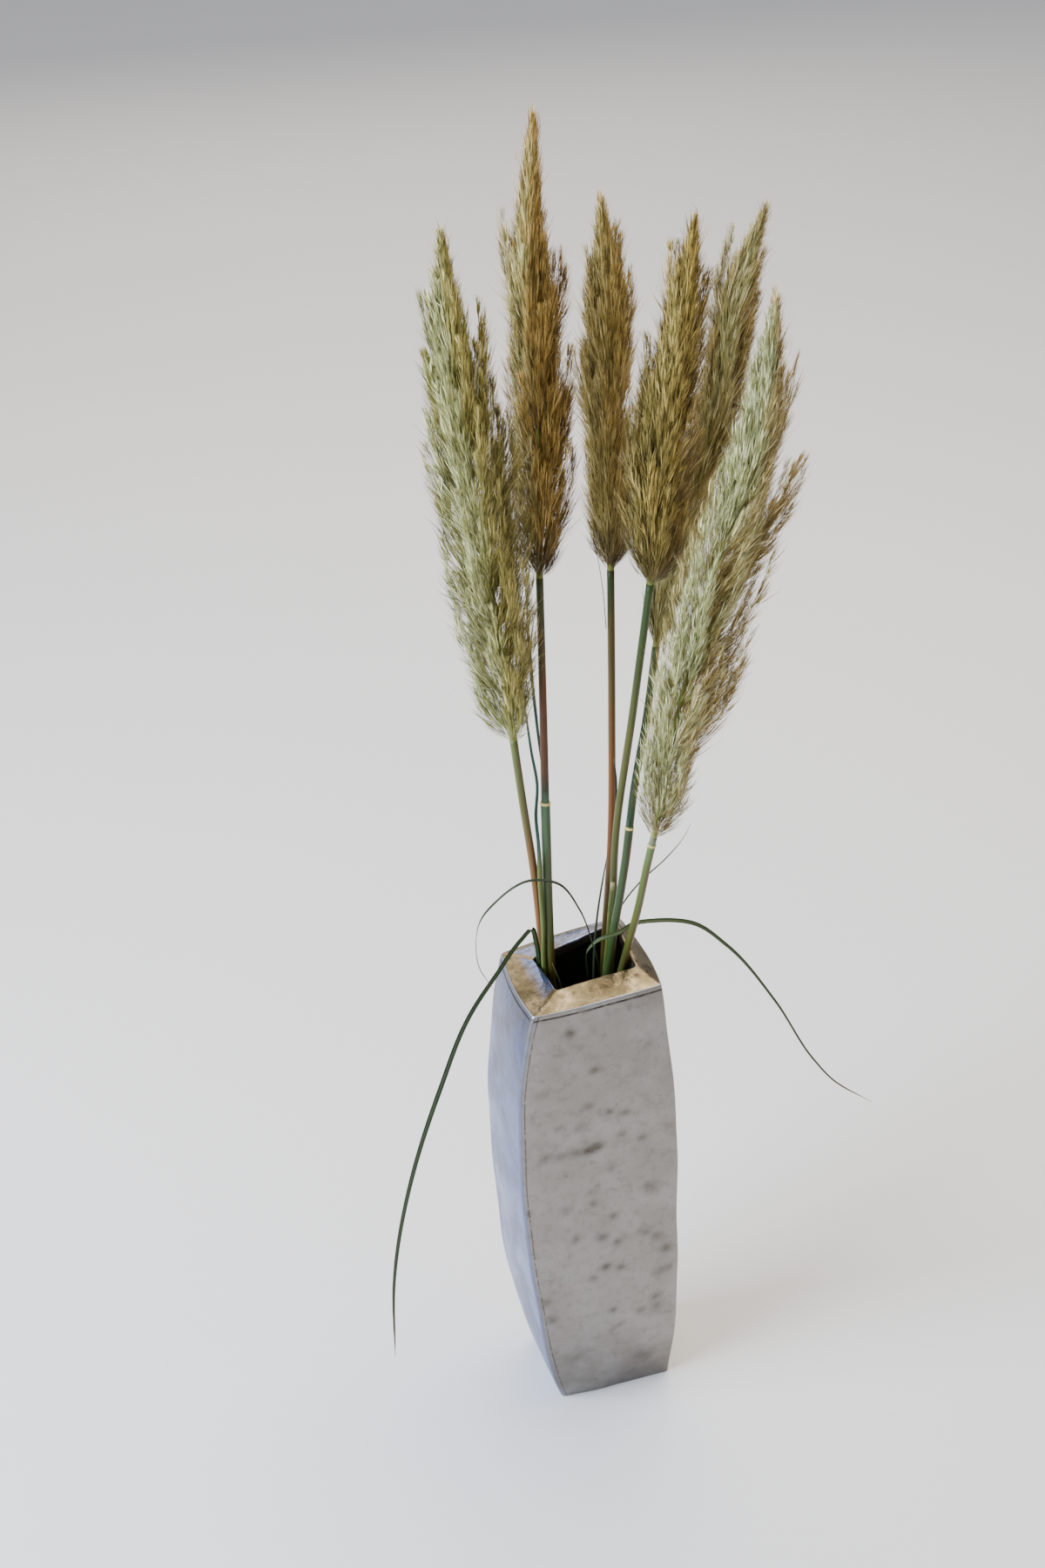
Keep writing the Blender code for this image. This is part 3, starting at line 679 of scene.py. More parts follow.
silverLid = {
    "lustre": screen(129, 118, 94),
    # a painted reflection of the bluish window light on the left and back of the lid
    "coolReflection": screen(112, 130, 178),
    "cloud": screen(92, 80, 56),
    "dark": screen(60, 52, 42),
    "metal": 0.92,
    "roughness": (0.14, 0.28),
    "bump": (0.2, 0.0008),
    "clouds": (48.0, 5.0, 0.42, 0.68),
    "small": (210.0, 4.0, 0.45, 0.75),
    "specks": (150.0, 0.12, 0.05),
    "amounts": {"clouds": 0.75, "small": 0.35, "specks": 0.85},
}


def makeSilverLid():
    look = silverLid
    amounts = look["amounts"]
    material, tree, surface = newMaterial("silverLid", **{"Metallic": look["metal"]})
    place = objectPlace(tree)
    clouds, small = (cloudMask(tree, place, *look[key]) for key in ("clouds", "small"))
    specks = speckMask(tree, place, *look["specks"])
    silver = mixColour(tree, readPaint(tree, "paintedCoolReflection"), look["lustre"], look["coolReflection"])
    base = layered(tree, silver, (
        (times(tree, clouds, amounts["clouds"]), look["cloud"]),
        (times(tree, small, amounts["small"]), look["cloud"]),
        (times(tree, specks, amounts["specks"]), look["dark"]),
        (readPaint(tree, "lidMarks"), look["dark"]),
    ))
    dress(tree, surface, base, mixValue(tree, clouds, *look["roughness"]), (*look["bump"], small))
    return material


# the inside of the vase: clay made nearly black, painting the shade deep in the mouth
shadedInsideClay = {"dark": screen(34, 30, 27), "light": screen(52, 46, 40), "roughness": 0.85, "scale": 60.0,
              "bump": (0.3, 0.001)}


def makeShadedInsideClay():
    look = shadedInsideClay
    plain = {"Roughness": look["roughness"], "Specular IOR Level": 0.2}
    material, tree, surface = newMaterial("shadedInsideClay", **plain)
    clouds = cloudMask(tree, objectPlace(tree), look["scale"])
    colour = mixColour(tree, clouds, look["dark"], look["light"])
    dress(tree, surface, colour, bump=(*look["bump"], clouds))
    return material


addPiece("vase", buildVase(), [makeSilverSides(), makeSilverLid(), makeShadedInsideClay()])
print("vase built")


stemForm = {"sides": 20, "rings": 110, "nodeSwell": 1.16, "nodeHalf": 0.0030, "stepAtNode": 0.4,
            "nodeRings": 15, "rib": 0.00006, "ribs": 9, "torn": 0.00025, "floorGap": 0.0006}
stemLook = {
    "strength": 0.52,  # darkens the colours below
    "red": screen(120, 52, 12), "vein": screen(52, 62, 30), "speck": screen(70, 44, 24),
    "node": screen(196, 176, 104),
    "fineLines": (26.0, 22.0, 18.6), "broadLines": (5.0, 14.0, 8.0),  # count, stretch and seed
    "specks": (420.0, 0.16, 0.10), "veinAmount": 0.35, "speckAmount": 0.4,
    "drift": 0.012, "driftScale": 45.0,  # how far a colour's height wanders
    "roughness": (0.34, 0.52), "bump": (0.25, 0.0003),
}

# route: the foot on the vase's floor, the mouth, and on up
# colours: height, red, green and blue; blush: its compass angle and amount
stems = {
    "stem_1": {
        "route": ((-0.026, 0.022), (-0.0385, 0.0163, 0.455), (-0.044, 0.0135, 0.541),
                  (-0.052, 0.009, 0.613), (-0.059, 0.003, 0.676)),
        "radius": (0.0033, 0.0031), "node": None,
        "colours": ((0.44, 128, 80, 24), (0.50, 158, 94, 28), (0.56, 146, 100, 42),
                    (0.62, 108, 112, 46), (0.68, 112, 132, 62)),
        "blush": (300, 0.35),
    },
    "stem_2": {
        "route": ((-0.026, -0.002), (-0.0345, 0.0095, 0.455), (-0.033, 0.012, 0.608),
                  (-0.032, 0.012, 0.692), (-0.031, 0.012, 0.805)),
        "radius": (0.0038, 0.0028), "node": 0.608,
        "colours": ((0.44, 104, 104, 40), (0.52, 98, 118, 60), (0.60, 84, 122, 86),
                    (0.612, 46, 58, 32), (0.64, 104, 52, 18), (0.70, 138, 74, 22),
                    (0.75, 96, 84, 34), (0.80, 80, 98, 42)),
        "blush": (330, 0.30),
    },
    "stem_3": {
        "route": ((0.012, 0.028), (0.018, 0.026, 0.455), (0.024, 0.022, 0.559),
                  (0.028, 0.027, 0.672), (0.032, 0.036, 0.789)),
        "radius": (0.0031, 0.0029), "node": None,
        "colours": ((0.44, 92, 88, 40), (0.52, 122, 84, 40), (0.56, 148, 80, 24),
                    (0.64, 158, 96, 30), (0.70, 140, 112, 46), (0.78, 72, 92, 42)),
        "blush": (320, 0.45),
    },
    "stem_4": {
        "route": ((0.000, 0.018), (0.022, 0.0165, 0.455), (0.023, 0.008, 0.562),
                  (0.034, -0.008, 0.690), (0.046, -0.015, 0.799)),
        "radius": (0.0030, 0.0030), "node": None,
        "colours": ((0.46, 88, 92, 42), (0.58, 110, 114, 44), (0.66, 114, 116, 42),
                    (0.74, 82, 110, 46), (0.79, 66, 104, 46)),
        "blush": (320, 0.20),
    },
    "stem_5": {
        "route": ((-0.006, -0.002), (0.014, 0.000, 0.455), (0.0265, -0.008, 0.556),
                  (0.0365, -0.002, 0.618), (0.050, 0.008, 0.670), (0.063, 0.022, 0.724)),
        "radius": (0.0034, 0.0030), "node": 0.582,
        "colours": ((0.44, 74, 104, 52), (0.52, 66, 96, 48), (0.578, 58, 84, 44),
                    (0.59, 60, 84, 40), (0.61, 96, 98, 36), (0.65, 102, 112, 40),
                    (0.72, 84, 108, 46)),
        "blush": (330, 0.35),
    },
    "stem_6": {
        "route": ((0.002, 0.027), (0.005, 0.030, 0.290), (0.0235, -0.008, 0.455), (0.030, -0.023, 0.510),
                  (0.034, -0.043, 0.577), (0.036, -0.049, 0.599)),
        "radius": (0.0031, 0.0026), "node": 0.590,
        "colours": ((0.44, 104, 110, 52), (0.50, 116, 122, 52), (0.56, 108, 132, 56),
                    (0.588, 120, 150, 84), (0.597, 146, 152, 112)),
        "blush": (330, 0.75),
    },
}


def stemRoute(name):
    foot = stems[name]["route"][0]
    return Route(((*foot, vase["floor"] + stemForm["floorGap"]), *stems[name]["route"][1:]))


def stemRadius(name, z):
    low, top = stems[name]["radius"]
    nodeHeight = stems[name]["node"]
    peak = stems[name]["route"][-1][2]
    z = np.asarray(z, float)
    if nodeHeight is None:
        return low + (top - low) * z / peak
    above = top + (low - top) * stemForm["stepAtNode"]
    return np.where(z <= nodeHeight, low, above + (top - above) * (z - nodeHeight) / (peak - nodeHeight))


def buildStem(name):
    stem = stems[name]
    route = stemRoute(name)
    shares = np.linspace(0, 1, stemForm["rings"])
    if stem["node"] is not None:
        half = stemForm["nodeHalf"] / route.length
        near = route.shareAtHeight(stem["node"]) + half * np.linspace(-1.2, 1.4, stemForm["nodeRings"])
        shares = np.sort(np.concatenate([shares, near]))
    z = route.at(shares)[:, 2]
    radius = stemRadius(name, z)
    swell = np.zeros(len(z))
    if stem["node"] is not None:
        swell = bell(z - stem["node"], stemForm["nodeHalf"] * 0.45)
        radius = radius + radius * (stemForm["nodeSwell"] - 1) * swell
    angle = np.linspace(0, 2 * math.pi, stemForm["sides"], endpoint=False)
    ribbed = radius[:, None] + stemForm["rib"] * np.sin(stemForm["ribs"] * angle)[None, :]
    ribbed = ribbed + stemForm["torn"] * np.sin(5 * angle + 1)[None, :] * swell[:, None]
    offsets = np.stack([ribbed * np.cos(angle), ribbed * np.sin(angle)], axis=-1)
    mesh = solidFrom(name + "Shape", crossSections(route, shares, (1.0, 0.0, 0.0), offsets))
    paint(mesh, "height", np.repeat(z, stemForm["sides"]))
    paint(mesh, "around", np.tile(angle / (2 * math.pi), len(z)))
    compass = math.radians(stem["blush"][0])
    paint(mesh, "blush", np.tile(0.5 + 0.5 * np.cos(angle - compass), len(z)))
    paint(mesh, "nodeRing", np.repeat(swell, stemForm["sides"]))
    mesh.shade_smooth()
    return mesh


def makeStemFinish(name):
    stem, look = stems[name], stemLook
    plain = {"Roughness": 0.42, "Specular IOR Level": 0.3, "Coat Weight": 0.06, "Coat Roughness": 0.2}
    material, tree, surface = newMaterial(name + "Skin", **plain)
    height, around = readPaint(tree, "height"), readPaint(tree, "around")
    low, high = stem["colours"][0][0], stem["colours"][-1][0]
    place = objectPlace(tree)
    clouds = cloudMask(tree, place, look["driftScale"], low=0.2, high=0.8)
    wander = remap(tree, clouds, 0.0, 1.0, -look["drift"], look["drift"])
    shifted = calculate(tree, "ADD", height, wander)
    share = node(tree, "MapRange", {"Value": shifted, "From Min": low, "From Max": high}).outputs["Result"]
    stops = [((z - low) / (high - low), screen(*shade, look["strength"])) for z, *shade in stem["colours"]]
    fine = streakMask(tree, around, height, *look["fineLines"])
    broad = streakMask(tree, around, height, *look["broadLines"])
    red = times(tree, remap(tree, readPaint(tree, "blush"), 0.45, 0.95), stem["blush"][1])
    colour = layered(tree, ramp(tree, share, stops), (
        (times(tree, red, broad), look["red"]),
        (remap(tree, fine, 0.0, 1.0, 0.0, look["veinAmount"]), look["vein"]),
        (times(tree, speckMask(tree, place, *look["specks"]), look["speckAmount"]), look["speck"]),
        (remap(tree, readPaint(tree, "nodeRing"), 0.35, 0.8), look["node"]),
    ))
    dress(tree, surface, colour, remap(tree, fine, 0.0, 1.0, *look["roughness"]), (*look["bump"], fine))
    return material


for stemName in stems:
    addPiece(stemName, buildStem(stemName), [makeStemFinish(stemName)])
print("stems built")


leafForm = {"thickness": 0.0009, "tipThinning": 0.4, "sheathOpening": 0.02, "claspShare": 0.08,
            "fold": 0.16, "ridges": 6, "ridge": 0.00005,
            "fractions": (0.0, 0.15, 0.5, 0.8, 0.94, 1.0), "shape": (0.50, 0.84, 1.0, 0.72, 0.40, 0.06)}

leafLook = {
    "strength": 0.55,  # darkens the colours below
    "veins": (9.0, 9.0, 2.0), "patches": (1.5, 14.0, 5.0),  # count, stretch and seed
    "veinAmount": 0.7, "patchAmount": 0.35, "ribAmount": 0.7, "ribEdge": (0.05, 0.20),
    "roughness": (0.38, 0.55), "bump": (0.3, 0.0002),
}
bladeGreen = {"blade": (72, 96, 52), "dark": (40, 58, 34), "rib": (136, 150, 96),
    "tip": (150, 112, 92), "tipFrom": 0.86}
bladeTeal = {"blade": (70, 116, 104), "dark": (30, 56, 46), "rib": (120, 160, 130),
    "tip": (60, 86, 70), "tipFrom": 0.97}
bladeThin = {"blade": (54, 66, 40), "dark": (42, 50, 36), "rib": (104, 110, 80),
    "tip": (150, 132, 90), "tipFrom": 0.80}
bladeRed = {"blade": (112, 66, 48), "dark": (70, 42, 30), "rib": (140, 96, 66),
    "tip": (96, 62, 48), "tipFrom": 0.8}
bladeYellow = {"blade": (126, 138, 66), "dark": (84, 98, 44), "rib": (164, 170, 100),
    "tip": (206, 192, 132), "tipFrom": 0.93}

# on: the stem that carries it, with the height and the compass angle where it starts
leaves = {
    "leaf_long_left": {
        "on": ("stem_1", 0.370, 200),
        "route": ((-0.0430, 0.0122, 0.455), (-0.0455, 0.011, 0.477), (-0.049, 0.010, 0.491),
                  (-0.060, 0.008, 0.483), (-0.081, 0.004, 0.459), (-0.105, 0.000, 0.429),
                  (-0.138, -0.002, 0.354), (-0.167, -0.004, 0.271), (-0.191, -0.004, 0.155),
                  (-0.197, -0.007, 0.066)),
        "width": 0.0050, "across": (0.80, 0.10, -0.20), "rings": 150, "finish": bladeGreen,
    },
    "leaf_long_right": {
        "on": ("stem_5", 0.340, 180),
        "route": ((-0.006, -0.001, 0.441), (-0.006, -0.010, 0.476), (0.000, -0.0125, 0.483),
                  (0.017, -0.013, 0.487), (0.034, -0.005, 0.487), (0.051, -0.004, 0.485),
                  (0.084, -0.004, 0.475), (0.115, -0.002, 0.444), (0.160, -0.004, 0.375),
                  (0.196, -0.009, 0.305), (0.215, -0.011, 0.278), (0.250, -0.018, 0.249)),
        "width": 0.0040, "across": (0.40, 0.75, 0.50), "rings": 170, "finish": bladeGreen,
    },
    "leaf_loop": {
        "on": ("stem_5", 0.380, 275),
        "route": ((0.002, -0.007, 0.452), (-0.006, -0.019, 0.484), (-0.016, -0.017, 0.521),
                  (-0.032, -0.013, 0.547), (-0.055, -0.010, 0.553), (-0.083, -0.011, 0.540),
                  (-0.099, -0.017, 0.527), (-0.103, -0.021, 0.516), (-0.105, -0.031, 0.497),
                  (-0.095, -0.039, 0.475)),
        "width": 0.0026, "across": (0.30, 0.80, 0.50), "rings": 130, "finish": bladeThin,
    },
    "leaf_back_right": {
        "on": ("stem_3", 0.405, 45),
        "route": ((0.026, 0.033, 0.452), (0.034, 0.035, 0.473), (0.051, 0.032, 0.499),
                  (0.076, 0.031, 0.521), (0.091, 0.030, 0.540), (0.095, 0.030, 0.549)),
        "width": 0.0022, "across": (0.0, 1.0, 0.0), "rings": 70, "finish": bladeThin,
    },
    "leaf_upright": {
        "on": ("stem_5", 0.360, 135),
        "route": ((0.002, 0.008, 0.440), (0.004, 0.009, 0.468), (0.010, 0.013, 0.504),
                  (0.022, 0.029, 0.532), (0.026, 0.031, 0.548)),
        "width": 0.0022, "across": (0.8, -0.6, 0.0), "rings": 70, "finish": bladeThin,
    },
    "leaf_sheathed": {
        "on": ("stem_2", 0.395, 215),
        "route": ((-0.0406, 0.0080, 0.465), (-0.040, 0.0075, 0.496), (-0.041, 0.0075, 0.535),
                  (-0.041, 0.008, 0.576), (-0.041, 0.012, 0.596), (-0.037, 0.019, 0.620),
                  (-0.040, 0.021, 0.650), (-0.046, 0.022, 0.721)),
        "width": 0.0034, "across": (1.0, 0.3, 0.0), "rings": 110, "sheath": (0.553, 0.0021),
        "finish": bladeTeal, "sheathFinish": bladeYellow,
    },
    "leaf_stem_2": {
        "on": ("stem_2", 0.640, 100),
        "route": ((-0.0355, 0.0180, 0.675), (-0.038, 0.018, 0.715), (-0.039, 0.020, 0.755),
                  (-0.038, 0.021, 0.829)),
        "width": 0.0030, "across": (1.0, 0.2, 0.0), "rings": 60, "finish": bladeTeal,
    },
    "leaf_stem_3": {
        "on": ("stem_3", 0.742, 190),
        "route": ((0.0245, 0.034, 0.777), (0.022, 0.038, 0.804)),
        "width": 0.0016, "across": (0.3, 1.0, 0.0), "rings": 30, "finish": bladeRed,
    },
    "leaf_stem_4": {
        "on": ("stem_4", 0.596, 100),
        "route": ((0.0255, 0.011, 0.615), (0.0245, 0.013, 0.637)),
        "width": 0.0022, "across": (1.0, 0.2, 0.0), "rings": 30, "finish": bladeThin,
    },
    "leaf_stem_5": {
        "on": ("stem_5", 0.586, 230),
        "route": ((0.0334, -0.0099, 0.632), (0.0448, -0.0011, 0.675), (0.0584, 0.0119, 0.719)),
        "width": 0.0029, "across": (0.9, 0.4, 0.0), "rings": 50, "fold": 0.0, "finish": bladeTeal,
    },
    "leaf_curl": {
        "on": ("stem_4", 0.425, 10),
        "route": ((0.0280, 0.0110, 0.466), (0.0290, 0.0020, 0.475), (0.0305, -0.0050, 0.471)),
        "width": 0.0018, "across": (1.0, 0.0, 0.3), "rings": 40, "finish": bladeThin,
    },
    "leaf_inside": {
        "on": ("stem_2", 0.360, 300),
        "route": ((-0.0290, -0.0020, 0.410), (-0.0300, -0.0010, 0.440), (-0.0345, 0.0045, 0.457)),
        "width": 0.0036, "across": (0.7, 0.7, 0.0), "rings": 40, "finish": bladeGreen,
    },
    "sheath_cut": {
        "on": ("stem_5", 0.400, 95),
        "route": ((0.0150, 0.0075, 0.470), (0.0165, 0.006, 0.494), (0.019, 0.005, 0.524)),
        "width": 0.0030, "across": (1.0, 0.3, 0.0), "rings": 50, "sheath": (0.600, 0.0019),
        "finish": bladeYellow, "sheathFinish": bladeYellow,
    },
}


def leafRoute(name):
    leaf = leaves[name]
    stem, z, compass = leaf["on"]
    carrier = stemRoute(stem)
    centre = carrier.at(carrier.shareAtHeight(z))
    half = leaf["sheath"][1] if "sheath" in leaf else leafForm["thickness"]
    reach = stemRadius(stem, z) + half + stemForm["floorGap"]
    angle = math.radians(compass)
    start = centre + reach * np.array((math.cos(angle), math.sin(angle), 0.0))
    return Route((start, *leaf["route"]))


def bladeOutline(width, thickness, foldShare):
    # a thin blade folded along its midrib, with fine ridges on its upper face
    u = np.linspace(-1, 1, 2 * leafForm["ridges"] + 1)
    fold = foldShare * width * (np.abs(u) - 0.5)
    ridge = leafForm["ridge"] * np.cos(u * math.pi * leafForm["ridges"])
    body = thickness * np.sqrt(np.clip(1 - u**2, 0, 1)) * (0.35 + 0.35 * bell(u, 0.15))
    upper = np.stack([u * width / 2, fold + body / 2 + ridge], axis=-1)
    lower = np.stack([u * width / 2, fold - body / 2], axis=-1)
    return np.concatenate([upper[::-1], lower[1:-1]])


def buildLeaf(name):
    leaf = leaves[name]
    route = leafRoute(name)
    shares = np.linspace(0, 1, leaf["rings"])
    z = route.at(shares)[:, 2]
    width = leaf["width"] * np.interp(shares, leafForm["fractions"], leafForm["shape"])
    thickness = leafForm["thickness"] * (1.0 - leafForm["tipThinning"] * shares)
    foldShare = leaf.get("fold", leafForm["fold"])
    offsets = np.array([bladeOutline(w, t, foldShare) for w, t in zip(width, thickness)])
    count = offsets.shape[1]
    sheathed = np.zeros(len(shares))
    if "sheath" in leaf:
        top, radius = leaf["sheath"]
        sheathed = 1 - np.clip((z - top) / leafForm["sheathOpening"], 0, 1)
        turn = np.linspace(0, 2 * math.pi, count, endpoint=False)[None, :]
        tube = radius * np.stack([np.cos(turn), np.sin(turn)], axis=-1)
        offsets = offsets + (tube - offsets) * sheathed[:, None, None]
    angle = math.radians(leaf["on"][2] + 90)
    clasping = np.array((math.cos(angle), math.sin(angle), 0.0))
    free = np.array(leaf["across"])
    clasping = -clasping if clasping.dot(free) < 0 else clasping
    turned = np.minimum(shares / leafForm["claspShare"], 1.0)[:, None]
    across = clasping + (free - clasping) * turned
    mesh = solidFrom(name + "Shape", crossSections(route, shares, across, offsets))
    paint(mesh, "along", np.repeat(shares, count))
    acrossBlade = offsets[..., 0] / np.maximum(width[:, None] / 2, 1e-6)
    paint(mesh, "acrossBlade", acrossBlade)
    paint(mesh, "sheathed", np.repeat(sheathed, count))
    mesh.shade_smooth()
    return mesh


def makeBlade(name, tones, sheathTones):
    look = leafLook
    material, tree, surface = newMaterial(name, **{"Roughness": 0.45, "Specular IOR Level": 0.28})

    def shade(source, key):
        return screen(*source[key], look["strength"])

    along, across = readPaint(tree, "along"), readPaint(tree, "acrossBlade")
    veins = streakMask(tree, across, along, *look["veins"])
    patches = streakMask(tree, across, along, *look["patches"])
    rib = remap(tree, calculate(tree, "ABSOLUTE", across), *look["ribEdge"], 1.0, 0.0)
    colour = layered(tree, shade(tones, "blade"), (
        (times(tree, veins, look["veinAmount"]), shade(tones, "dark")),
        (times(tree, patches, look["patchAmount"]), shade(tones, "dark")),
        (times(tree, rib, look["ribAmount"]), shade(tones, "rib")),
    ))
    if sheathTones:
        sheath = mixColour(tree, veins, shade(sheathTones, "blade"), shade(sheathTones, "dark"))
        colour = mixColour(tree, readPaint(tree, "sheathed"), colour, sheath)
    colour = mixColour(tree, remap(tree, along, tones["tipFrom"], 1.0), colour, shade(tones, "tip"))
    dress(tree, surface, colour, remap(tree, veins, 0.0, 1.0, *look["roughness"]), (*look["bump"], veins))
    return material


for leafName, leaf in leaves.items():
    finish = makeBlade(leafName + "Skin", leaf["finish"], leaf.get("sheathFinish"))
    addPiece(leafName, buildLeaf(leafName), [finish])
print("leaves built")


plumeForm = {
    "neck": 0.012, "stemGap": 0.0003, "goldenTurn": 2.39996, "turnJitter": 0.3, "fullness": 1.06,
    "lowestTip": 0.12, "tipCrowding": 0.95, "depth": 0.12, "depthPower": 0.42,
    "lockSpread": (0.75, 1.25), "lockThickness": (0.0036, 0.0062),
    "spireRoot": 0.26, "spireThickness": 0.0036, "spireWeight": 1.35,
    "flankLocks": 6, "flankLength": 0.090, "flankSpread": (0.7, 1.2), "flankReach": (0.30, 0.94),
    "flankJitter": 0.003, "flankDrop": 0.10,
    "fibreLength": (0.012, 0.028), "lengthSpread": (0.75, 1.15), "fibreWidth": (0.00016, 0.00034),
    "strand": (1.2, 0.85, 0.5),  # widths of the fibres that grow together
    "strandSpread": 0.25, "flare": (0.13, 0.10), "bow": (0.02, 0.03), "twist": 0.55, "tipJitter": 0.0006,
    "strays": 0.10, "strayLength": 1.35,
    "wisps": 90, "wispFrom": (0.86, 0.985), "wispLength": (0.005, 0.013), "wispBow": 0.30, "wispWidth": 0.7,
    "coreRings": 40, "coreSides": 8, "coreTop": 0.97, "coreTaper": (1.0, 0.5, 0.12),
    "paleFibres": 0.09,
}
plumeLook = {"core": screen(120, 124, 62), "baseAmount": 0.8, "baseFade": 0.16, "roughness": (0.65, 0.45)}

straw = {"dark": screen(96, 80, 24), "middle": screen(164, 138, 60), "light": screen(240, 216, 150)}
lightStraw = {"dark": screen(112, 94, 34), "middle": screen(182, 158, 80), "light": screen(246, 226, 166)}
oliveStraw = {"dark": screen(76, 70, 16), "middle": screen(148, 136, 46), "light": screen(234, 216, 138)}
honey = {"dark": screen(96, 76, 20), "middle": screen(176, 148, 58), "light": screen(250, 222, 144)}
darkHoney = {"dark": screen(60, 48, 8), "middle": screen(120, 98, 24), "light": screen(226, 194, 106)}
golden = {"dark": screen(76, 54, 12), "middle": screen(146, 112, 38), "light": screen(234, 196, 112)}
silverGreen = {"dark": screen(80, 86, 24), "middle": screen(132, 138, 52), "light": screen(226, 232, 182)}

# profile: share of the height and half width; pale: compass of the silvery side, which is the plume's own
# pale colour with a painted highlight from the window light, and how far it spreads
plumes = {
    "plume_1": {
        "route": ((-0.076, -0.013, 0.827), (-0.088, -0.021, 0.920), (-0.096, -0.027, 1.005),
                  (-0.102, -0.032, 1.090)),
        "profile": ((0, 0.003), (0.05, 0.009), (0.15, 0.022), (0.30, 0.029), (0.45, 0.033), (0.66, 0.027),
                    (0.80, 0.020), (0.90, 0.010), (1.0, 0.001)),
        "spires": ((-0.114, -0.019, 1.044), (-0.078, -0.028, 1.039), (-0.108, 0.004, 0.995),
                   (-0.063, -0.032, 0.965), (-0.056, -0.027, 0.900)),
        "locks": 150, "fibres": 38500, "lockLength": 0.085, "seed": 11,
        "tones": oliveStraw, "pale": (196, 0.50, 0.62), "baseShade": screen(142, 144, 76),
    },
    "plume_2": {
        "route": ((-0.027, 0.015, 0.889), (-0.026, 0.020, 0.960), (-0.026, 0.025, 1.034),
                  (-0.018, 0.033, 1.141)),
        "profile": ((0, 0.003), (0.03, 0.0075), (0.09, 0.013), (0.20, 0.0195), (0.31, 0.023), (0.54, 0.019),
                    (0.65, 0.0187), (0.72, 0.0165), (0.82, 0.0095), (0.93, 0.003), (1.0, 0.001)),
        "spires": ((-0.040, 0.034, 1.077), (-0.006, 0.020, 1.049), (-0.004, 0.014, 0.981),
                   (-0.022, 0.052, 1.030)),
        "locks": 140, "fibres": 33000, "lockLength": 0.075, "seed": 12,
        "tones": golden, "pale": (190, 1.0, 0.45), "baseShade": screen(64, 42, 16),
    },
    "plume_3": {
        "route": ((0.033, 0.040, 0.862), (0.037, 0.047, 0.941), (0.038, 0.053, 0.997),
                  (0.037, 0.060, 1.070)),
        "profile": ((0, 0.003), (0.08, 0.010), (0.15, 0.015), (0.36, 0.0175), (0.58, 0.0195), (0.72, 0.015),
                    (0.80, 0.011), (0.86, 0.0095), (0.93, 0.005), (1.0, 0.001)),
        "spires": ((0.026, 0.059, 1.034), (0.046, 0.056, 1.051), (0.054, 0.051, 1.019),
                   (0.014, 0.055, 0.965)),
        "locks": 120, "fibres": 27000, "lockLength": 0.070, "seed": 13,
        "tones": honey, "pale": (190, 0.85, 0.25), "baseShade": screen(62, 38, 20),
    },
    "plume_4": {
        "route": ((0.052, -0.016, 0.876), (0.061, -0.019, 0.942), (0.069, -0.021, 1.005),
                  (0.077, -0.023, 1.074)),
        "profile": ((0, 0.003), (0.06, 0.0094), (0.13, 0.0156), (0.28, 0.023), (0.35, 0.0244), (0.49, 0.0225),
                    (0.63, 0.0188), (0.78, 0.0138), (0.85, 0.0125), (0.92, 0.006), (1.0, 0.001)),
        "spires": ((0.062, -0.019, 1.057), (0.085, -0.025, 1.037), (0.048, -0.016, 0.991),
                   (0.038, -0.013, 0.950)),
        "locks": 150, "fibres": 31000, "lockLength": 0.078, "seed": 14,
        "tones": darkHoney, "pale": (200, 0.9, 0.15), "baseShade": screen(86, 72, 26),
    },
    "plume_5": {
        "route": ((0.088, 0.031, 0.814), (0.117, 0.039, 0.898), (0.134, 0.050, 0.973),
                  (0.161, 0.058, 1.049)),
        "profile": ((0, 0.003), (0.07, 0.0068), (0.19, 0.0125), (0.31, 0.016), (0.43, 0.018), (0.73, 0.0165),
                    (0.79, 0.013), (0.85, 0.0108), (0.91, 0.007), (1.0, 0.001)),
        "spires": ((0.138, 0.059, 1.036), (0.158, 0.053, 1.018), (0.152, 0.050, 0.987)),
        "locks": 150, "fibres": 31000, "lockLength": 0.080, "seed": 15,
        "tones": straw, "pale": (225, 0.8, 0.45), "baseShade": screen(100, 92, 44),
    },
    "plume_6": {
        "route": ((0.047, -0.072, 0.719), (0.065, -0.098, 0.842), (0.086, -0.124, 0.960),
                  (0.089, -0.140, 1.060)),
        "profile": ((0, 0.003), (0.03, 0.006), (0.12, 0.0125), (0.17, 0.018), (0.22, 0.024), (0.31, 0.027),
                    (0.41, 0.027), (0.46, 0.024), (0.65, 0.0227), (0.75, 0.0166), (0.84, 0.0129),
                    (0.89, 0.0098), (0.94, 0.0067), (1.0, 0.001)),
        "spires": ((0.106, -0.134, 1.012), (0.119, -0.128, 0.938), (0.101, -0.118, 0.866),
                   (0.091, -0.105, 0.800), (0.080, -0.127, 1.005)),
        "locks": 160, "fibres": 38000, "lockLength": 0.085, "seed": 16,
        "tones": lightStraw, "flankLocks": 13, "pale": (205, 0.15, 0.82), "baseShade": screen(128, 112, 70),
    },
}


def plumeRoute(name):
    stem = stemRoute(name.replace("plume", "stem"))
    start = stem.at(1.0) + stem.direction(1.0) * plumeForm["stemGap"]
    rise = start + stem.direction(1.0) * plumeForm["neck"]
    return Route((start, rise, *plumes[name]["route"]))


spindleShares = (0.0, 0.3, 0.3, 0.66, 0.66, 1.0)  # how far along a fibre each of its corners is


